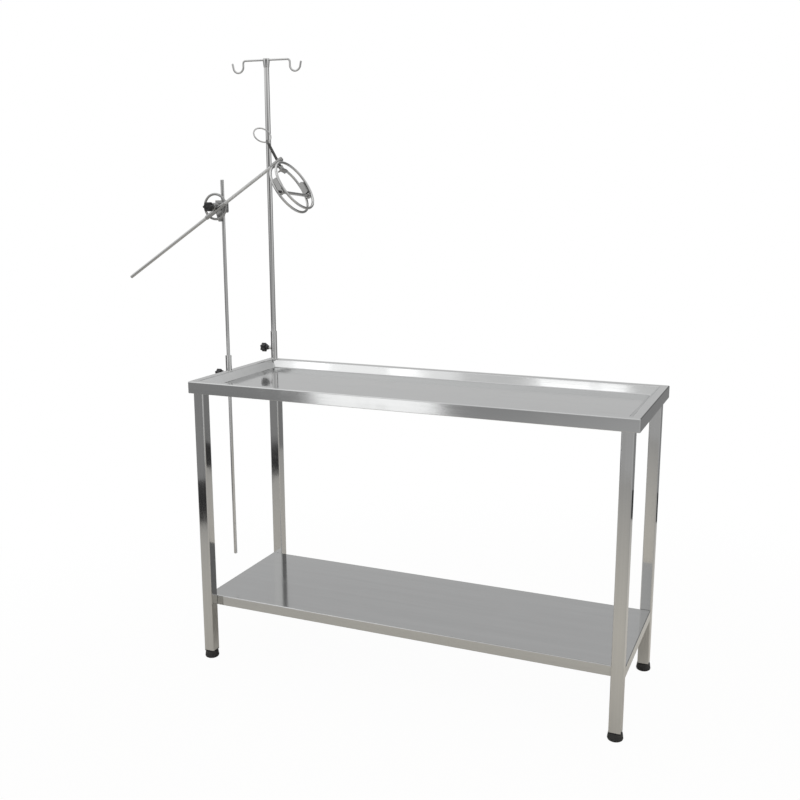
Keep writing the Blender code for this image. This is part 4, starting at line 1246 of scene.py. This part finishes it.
def round_off(direction, radius):
    """Closes the selected end ring of a bar with a low dome."""
    for start, end in ((0.0, 0.45), (0.45, 0.9), (0.9, 1.3)):
        shrink = math.cos(end) / math.cos(start)
        grow(direction * (DOME * radius * (math.sin(end) - math.sin(start))))
        bpy.ops.transform.resize(value=(shrink, shrink, shrink), center_override=tuple(ring_middle()))
    bpy.ops.mesh.edge_face_add()


# %% Bending the hooks
HOOK_SPACING = 0.157
HOOK_BEND = 0.008
HOOK_RADIUS = 0.017
HOOK_DROP = 0.035
HOOK_TIP_RISE = 0.029
HOOK_TIP_LEAN = math.radians(12.0)
BEND_STEPS = 12
BAR_SIDES = 20

half = HOOK_SPACING / 2
hook_centre = Vector((half + HOOK_RADIUS, 0.0, HOOK_RADIUS - HOOK_DROP))
tip_direction = Vector((math.sin(HOOK_TIP_LEAN), 0.0, math.cos(HOOK_TIP_LEAN)))
hooks = open_ring("bent_hooks", bar_radius, BAR_SIDES, (0.0, math.pi / 2, 0.0))
grow((half - HOOK_BEND, 0.0, 0.0))
bend(BEND_STEPS, math.pi / 2, (half - HOOK_BEND, 0.0, -HOOK_BEND), (0.0, 1.0, 0.0))
grow((0.0, 0.0, hook_centre.z + HOOK_BEND))
bend(2 * BEND_STEPS, math.pi - HOOK_TIP_LEAN, hook_centre, (0.0, -1.0, 0.0))
tip_rise = HOOK_TIP_RISE - HOOK_DROP - ring_middle().z - DOME * bar_radius
grow(tip_direction * (tip_rise / tip_direction.z))
round_off(tip_direction, bar_radius)
begin()
other_half = hooks.modifiers.new("other_half", "MIRROR")
other_half.use_axis[0] = True
other_half.use_mirror_merge = True
other_half.merge_threshold = MERGE
apply_modifiers(hooks)
open_mesh()
clean_skin()
hand_over(lay(hooks, HOOK @ up(bar_height)), "hook_bar")

# %% [markdown]
# ## Cross clamp
# The clamp holds the arm on the rod. Its jaw is a machined block with a wedge-shaped lower end, bored for the
# rod and for the pivot screw; the arm lies in a sleeve on a round boss in front of it, and the knob squeezes
# the two together over a washer. Blocks are boxes whose faces are extruded and whose edges are eased before
# they are bored.

# %% The jaw on the rod
JAW_WIDTH = 0.024
JAW_PLATE = 0.012
JAW_RISE = 0.018
JAW_EDGE = 0.0012
JAW_CORNER = 0.004
WEDGE_TIP = 0.007
PIVOT_RADIUS = 0.004
SET_SCREW_RADIUS = 0.0026
SET_SCREW_DEPTH = 0.004
SET_SCREW_CHAMFER = 0.0003
SET_SCREW_HOLE = 0.0028
SET_SCREW_SUNK = 0.0006
RECESS_SHARE = 0.58


def block(name, size, centre, edge, long_edges=None):
    """A box about a centre with eased edges; long_edges rounds the ones along Y more."""
    piece = open_box(name, size, centre)
    if long_edges:
        pick("EDGE", lambda side: abs(along(side).y) > 0.9)
        round_picked(long_edges, 8)
    ease_edges(piece, edge)
    return piece


def set_screw(radius, depth, place):
    """A flush screw along Z with a hexagon recess, its face at z = 0 of a place."""
    screw = turned("set_screw", [
        (0.0, -depth), (radius, -depth), (radius, -SET_SCREW_CHAMFER), (radius - SET_SCREW_CHAMFER, 0.0),
        (0.0, 0.0),
    ], 24)
    cut(screw, drill(radius * RECESS_SHARE, -depth * 0.6, 0.001, sides=6))
    return lay(screw, place)


jaw_low, jaw_high = extent("clamp_jaw", CLAMP)
body_depth = jaw_high.y - jaw_low.y - JAW_PLATE / 2
body_size = (JAW_WIDTH, body_depth, 2 * JAW_RISE)
jaw = block("clamp_block", body_size, (0.0, jaw_high.y - body_depth / 2, 0.0), JAW_EDGE, JAW_CORNER)
wedge = open_box("wedge", (JAW_WIDTH, JAW_PLATE, 2 * JAW_RISE), (0.0, jaw_low.y + JAW_PLATE / 2, 0.0))
pick("FACE", lambda face: face.normal.z < -0.9)
grow((0.0, 0.0, jaw_low.z + JAW_RISE))
bpy.ops.transform.resize(value=(WEDGE_TIP / JAW_WIDTH, 1.0, 1.0), center_override=(0.0, 0.0, 0.0))
ease_edges(wedge, JAW_EDGE)
fuse(jaw, wedge)
rod_bore = drill(rod_radius + CLEAR, 2 * jaw_low.z, -2 * jaw_low.z)
pivot_bore = drill(PIVOT_RADIUS + CLEAR, 0.0, 0.06, ALONG_MINUS_Y)
cut(jaw, rod_bore, pivot_bore, drill(SET_SCREW_HOLE, 0.0, 0.03, ALONG_Y))
jaw_back = Matrix.Translation((0.0, jaw_high.y - SET_SCREW_SUNK, 0.0)) @ ALONG_Y
joined(jaw, set_screw(SET_SCREW_RADIUS, SET_SCREW_DEPTH, jaw_back))
hand_over(lay(jaw, CLAMP), "clamp_jaw", machined_steel)

# %% The pivot screw and its washer
WASHER_EDGE = 0.0005

low, high = extent("clamp_pivot_screw", PIVOT)
pivot_screw = clamp_screw("pivot_screw_thread", PIVOT_RADIUS, low.z, high.z)
hand_over(lay(pivot_screw, PIVOT), "clamp_pivot_screw")
washer_low, washer_high = extent("clamp_washer", PIVOT)
washer = tube("pivot_washer", PIVOT_RADIUS + CLEAR, washer_high.x, washer_low.z, washer_high.z)
ease_edges(washer, WASHER_EDGE)
hand_over(lay(washer, PIVOT), "clamp_washer", machined_steel)

# %% [markdown]
# The arm is a plain bar in a sleeve. The sleeve is brazed to the round pivot boss, so the two are fused
# before the bores are cut. The hoop behind it is bar that was bent into a ring; where its ends were welded it
# is a trifle thicker. A ready-made torus would do, but spinning a ring lets the weld be thickened.

# %% The arm and its sleeve
ARM_SLEEVE_WALL = 0.0014
ARM_CHAMFER = 0.0010
SLEEVE_CHAMFER = 0.0008
CARRIER_CHAMFER = 0.0012

arm_low, arm_high = extent("head_arm", ARM)
arm_middle = (arm_low + arm_high) / 2
arm_radius = (arm_high.z - arm_low.z) / 2
ARM_LINE = Matrix.Translation((0.0, arm_middle.y, arm_middle.z)) @ ALONG_X
arm = round_bar("arm_bar", arm_radius, arm_low.x, arm_high.x, ARM_CHAMFER)
hand_over(lay(arm, ARM @ ARM_LINE), "head_arm")

low, high = extent("arm_sleeve", ARM)
carrier_back = -high.y
carrier_front = washer_low.z - CLEAR
carrier = turned("arm_carrier", [
    (PIVOT_RADIUS + CLEAR, carrier_back), (high.z - CARRIER_CHAMFER, carrier_back),
    (high.z, carrier_back + CARRIER_CHAMFER), (high.z, carrier_front - CARRIER_CHAMFER),
    (high.z - CARRIER_CHAMFER, carrier_front), (PIVOT_RADIUS + CLEAR, carrier_front),
], hollow=True)
lay(carrier, ALONG_MINUS_Y)
sleeve_radius = arm_radius + CLEAR + ARM_SLEEVE_WALL
fuse(carrier, lay(round_bar("carrier_tube", sleeve_radius, low.x, high.x, SLEEVE_CHAMFER), ARM_LINE))
cut(carrier, drill(arm_radius + CLEAR, 2 * low.x, 2 * high.x, ARM_LINE))
hand_over(lay(carrier, ARM), "arm_sleeve", machined_steel)

# %% The clamp's hoop
HOOP_SWELL = 0.0003
HOOP_WELD = math.radians(250.0)
WELD_REACH = 2.6


def hoop(name, radius, bar, steps=144, sides=BAR_SIDES, weld_at=None):
    """A closed hoop of round bar about Z, a little thicker where it was welded."""
    ring = open_ring(name, bar, sides, (math.pi / 2, 0.0, 0.0), (radius, 0.0, 0.0))
    bend(steps, math.tau, (0.0, 0.0, 0.0), (0.0, 0.0, 1.0))
    clean_skin()
    if weld_at is not None:
        weld = Vector((math.cos(weld_at), math.sin(weld_at), 0.0))
        pick("VERT", lambda point: point.co.normalized().dot(weld) > math.cos(WELD_REACH * math.tau / steps))
        bpy.ops.transform.shrink_fatten(value=HOOP_SWELL)
    begin()
    return ring


low, high = extent("clamp_hoop", ARM @ ALONG_MINUS_Y)
hoop_bar = (high.z - low.z) / 2
clamp_ring = hoop("clamp_ring", high.x - hoop_bar, hoop_bar, weld_at=HOOP_WELD)
hand_over(lay(clamp_ring, ARM @ ALONG_MINUS_Y @ up((high.z + low.z) / 2)), "clamp_hoop", machined_steel)

# %% [markdown]
# ## Head holder
# Two hoops of bar hold the animal's head. They hang under a turned head block on the arm, and two side blocks
# and the small brackets of the bite bar are held between them, so those are grooved with a hoop that is
# slightly thicker.

# %% The two hoops
RING_WELD = math.radians(35.0)

low, high = extent("ring_hoop_near", HEAD)
ring_bar = (high.x - low.x) / 2
ring_radius = (high.y - low.y) / 2 - ring_bar
ring_places = []
for side in ("near", "far"):
    low, high = extent(f"ring_hoop_{side}", HEAD)
    ring_places.append(Matrix.Translation((low + high) / 2) @ ALONG_X)
    ring = hoop(f"head_ring_{side}", ring_radius, ring_bar, weld_at=RING_WELD)
    hand_over(lay(ring, HEAD @ ring_places[-1]), f"ring_hoop_{side}")

# %% The head block
JAW_SCREW_RADIUS = 0.004
ARM_SEAT = 0.0058
HEAD_CHAMFER = 0.0012
GRIP_SCREW_RADIUS = 0.0018
GRIP_SCREW_DEPTH = 0.0013

low, high = extent("head_block", HEAD)
head = lay(round_bar("arm_head", high.z, -high.x, -low.x, HEAD_CHAMFER), ALONG_MINUS_X)
jaw_screw_bore = drill(JAW_SCREW_RADIUS + CLEAR, -0.03, 0.03)
cut(head, jaw_screw_bore, drill(arm_radius + CLEAR, ARM_SEAT, 0.06, ALONG_MINUS_X))
grip_face = Matrix.Translation(((low.x - ARM_SEAT) / 2, 0.0002 - high.z, 0.0)) @ ALONG_MINUS_Y
joined(head, set_screw(GRIP_SCREW_RADIUS, GRIP_SCREW_DEPTH, grip_face))
hand_over(lay(head, HEAD), "head_block", machined_steel)

# %% Side blocks, brackets and the bite bar
BAR_SCREW_RADIUS = 0.00175
BLOCK_EDGE = 0.0010
CHEEK_CORNER = 0.005
BRACKET_CORNER = 0.003
BITE_BAR_EDGE = 0.0014
BITE_BAR_BORE = (0.052, 0.08)


def hoop_bores():
    """The two tools that groove a block for the hoops."""
    return [lay(hoop("bore", ring_radius, ring_bar + CLEAR, 96, 16), place) for place in ring_places]


for side in ("front", "back"):
    low, high = extent(f"side_block_{side}", HEAD)
    cheek = block(f"cheek_block_{side}", high - low, (low + high) / 2, BLOCK_EDGE, CHEEK_CORNER)
    hand_over(lay(cut(cheek, *hoop_bores()), HEAD), f"side_block_{side}", machined_steel)
    low, high = extent(f"bite_bar_bracket_{side}", HEAD)
    centre = (low + high) / 2
    bracket = block(f"bar_bracket_{side}", high - low, centre, BLOCK_EDGE, BRACKET_CORNER)
    screw_bore = drill(BAR_SCREW_RADIUS + CLEAR, -0.02, 0.02, Matrix.Translation(centre) @ ALONG_Y)
    hand_over(lay(cut(bracket, screw_bore, *hoop_bores()), HEAD), f"bite_bar_bracket_{side}", machined_steel)

low, high = extent("bite_bar", HEAD)
bite_middle = Matrix.Translation((low + high) / 2)
bite_bar = block("tooth_bar", high - low, (low + high) / 2, BITE_BAR_EDGE)
for turn in (ALONG_Y, ALONG_MINUS_Y):
    cut(bite_bar, drill(BAR_SCREW_RADIUS + CLEAR, *BITE_BAR_BORE, bite_middle @ turn))
hand_over(lay(bite_bar, HEAD), "bite_bar")

# %% [markdown]
# The bite bar hangs on two cap screws, blackened so that they don't rust. Each has a round head with a
# hexagon recess for the key, which a six-sided drill cuts.

# %% Cap screws
CAP_LENGTH = 0.004
SHANK_CHAMFER = 0.0004
CAP_CHAMFER = 0.0005
KEY_RADIUS = 0.0018
KEY_DEPTH = 0.0022

for side, turn in (("front", ALONG_MINUS_Y), ("back", ALONG_Y)):
    place = HEAD @ bite_middle @ turn
    low, high = extent(f"bite_bar_screw_{side}", place)
    seat = high.z - CAP_LENGTH
    cap_screw = turned(f"cap_screw_{side}", [
        (0.0, low.z), (BAR_SCREW_RADIUS - SHANK_CHAMFER, low.z), (BAR_SCREW_RADIUS, low.z + SHANK_CHAMFER),
        (BAR_SCREW_RADIUS, seat), (high.x, seat),
        (high.x, high.z - CAP_CHAMFER), (high.x - CAP_CHAMFER, high.z), (0.0, high.z),
    ], 32)
    cut(cap_screw, drill(KEY_RADIUS, high.z - KEY_DEPTH, high.z + 0.001, sides=6))
    hand_over(lay(cap_screw, place), f"bite_bar_screw_{side}")

# %% [markdown]
# ## Nose jaw
# The jaw that holds the muzzle is a strip rolled to an arc with a hub on its crown. A small rectangle is spun
# round the arc's centre, the ends are closed and the edges eased; the hub is turned, fused on and bored for
# the screw.

# %% The rolled strip and its hub
NOSE_OUTER = 0.030
NOSE_STRIP = 0.004
NOSE_WIDTH = 0.014
NOSE_SPAN = 0.036
NOSE_EDGE = 0.0010
NOSE_HUB_RADIUS = 0.0065
NOSE_HUB = 0.012
NOSE_HUB_CHAMFER = 0.0008
NOSE_BORE = 0.008

nose_top = extent("nose_jaw", HEAD)[1].z
half_arc = math.asin(NOSE_SPAN / 2 / NOSE_OUTER)
hub_foot = nose_top - NOSE_HUB
begin()
bpy.ops.mesh.primitive_plane_add(size=1.0)
nose = named("muzzle_jaw")
open_mesh()
bpy.ops.transform.resize(value=(NOSE_WIDTH, NOSE_STRIP, 1.0))
bpy.ops.transform.translate(value=(0.0, NOSE_OUTER - NOSE_STRIP / 2, 0.0))
bend(32, 2 * half_arc, (0.0, 0.0, 0.0), (1.0, 0.0, 0.0))
clean_skin()
arc_centre = hub_foot + NOSE_STRIP / 2 - NOSE_OUTER
lay(nose, up(arc_centre) @ Matrix.Rotation(math.pi / 2 - half_arc, 4, "X"))
ease_edges(nose, NOSE_EDGE)
fuse(nose, round_bar("nose_hub", NOSE_HUB_RADIUS, hub_foot, nose_top, NOSE_HUB_CHAMFER))
cut(nose, drill(JAW_SCREW_RADIUS + CLEAR, nose_top - NOSE_BORE, nose_top + 0.01))
hand_over(lay(nose, HEAD), "nose_jaw", machined_steel)

# %% [markdown]
# ## Jaw screw and its loop
# The screw that drives the jaw has a coarse thread, and it is the darkest bar of the holder because its steel
# colour is painted dark, as painted shade and painted dark reflection in its turns. A wire loop through its
# end turns it. The loop is a curve with a round section, since nothing else follows an oval with an even
# thickness so easily; it leans a little, as a loose loop does, and it is made a mesh at the end.

# %% The screw
JAW_PITCH = 0.002
NECK = 0.012
NECK_CHAMFER = 0.0008
NECK_OVERLAP = 0.0002
LOOP_WIRE = 0.002
LOOP_PLAY = 0.0008
LOOP_TURN = math.radians(45.0)
LOOP = HEAD @ Matrix.Rotation(LOOP_TURN, 4, "Z")

# This steel's colour is painted dark, as painted shade and painted dark reflection in the jaw screw's turns.
oiled_thread = steel_finish("oiled_thread", (0.20, 0.20, 0.195), FINE, (0.24, 0.38), 0.08)
loop_low, loop_high = extent("jaw_loop_handle", LOOP)
wire_height = loop_low.z + LOOP_WIRE
low, high = extent("jaw_screw", LOOP)
jaw_screw = threaded("jaw_screw_thread", JAW_SCREW_RADIUS, JAW_PITCH, low.z, high.z - NECK)
neck = round_bar("neck", JAW_SCREW_RADIUS, high.z - NECK - NECK_OVERLAP, high.z, NECK_CHAMFER)
cut(neck, drill(LOOP_WIRE + LOOP_PLAY, -0.02, 0.02, up(wire_height) @ ALONG_X))
hand_over(lay(joined(jaw_screw, neck), LOOP), "jaw_screw", oiled_thread)

# %% The wire loop
LOOP_WIDTH = 0.042
LOOP_LEAN = 0.2

begin()
bpy.ops.curve.primitive_bezier_circle_add(radius=1.0)
loop = named("wire_loop")
half_height = (loop_high.z - loop_low.z) / 2 - LOOP_WIRE
upright = Matrix.Rotation(math.pi / 2, 4, "X") @ Matrix.Diagonal((LOOP_WIDTH / 2, half_height, 1.0, 1.0))
leaning = Matrix.Identity(4)
leaning[0][2] = -LOOP_LEAN
loop.data.transform(leaning @ up(half_height) @ upright)
for point in loop.data.splines[0].bezier_points:
    point.radius = 1.0
loop.data.bevel_depth = LOOP_WIRE
loop.data.bevel_resolution = 3
loop.data.resolution_u = 20
bpy.ops.object.convert(target="MESH")
loop = bpy.context.object
open_mesh()
clean_skin()
hand_over(lay(loop, LOOP @ up(wire_height)), "jaw_loop_handle")

# %% Closing with the standard view transform
begin()
bpy.context.scene.view_settings.view_transform = "Standard"
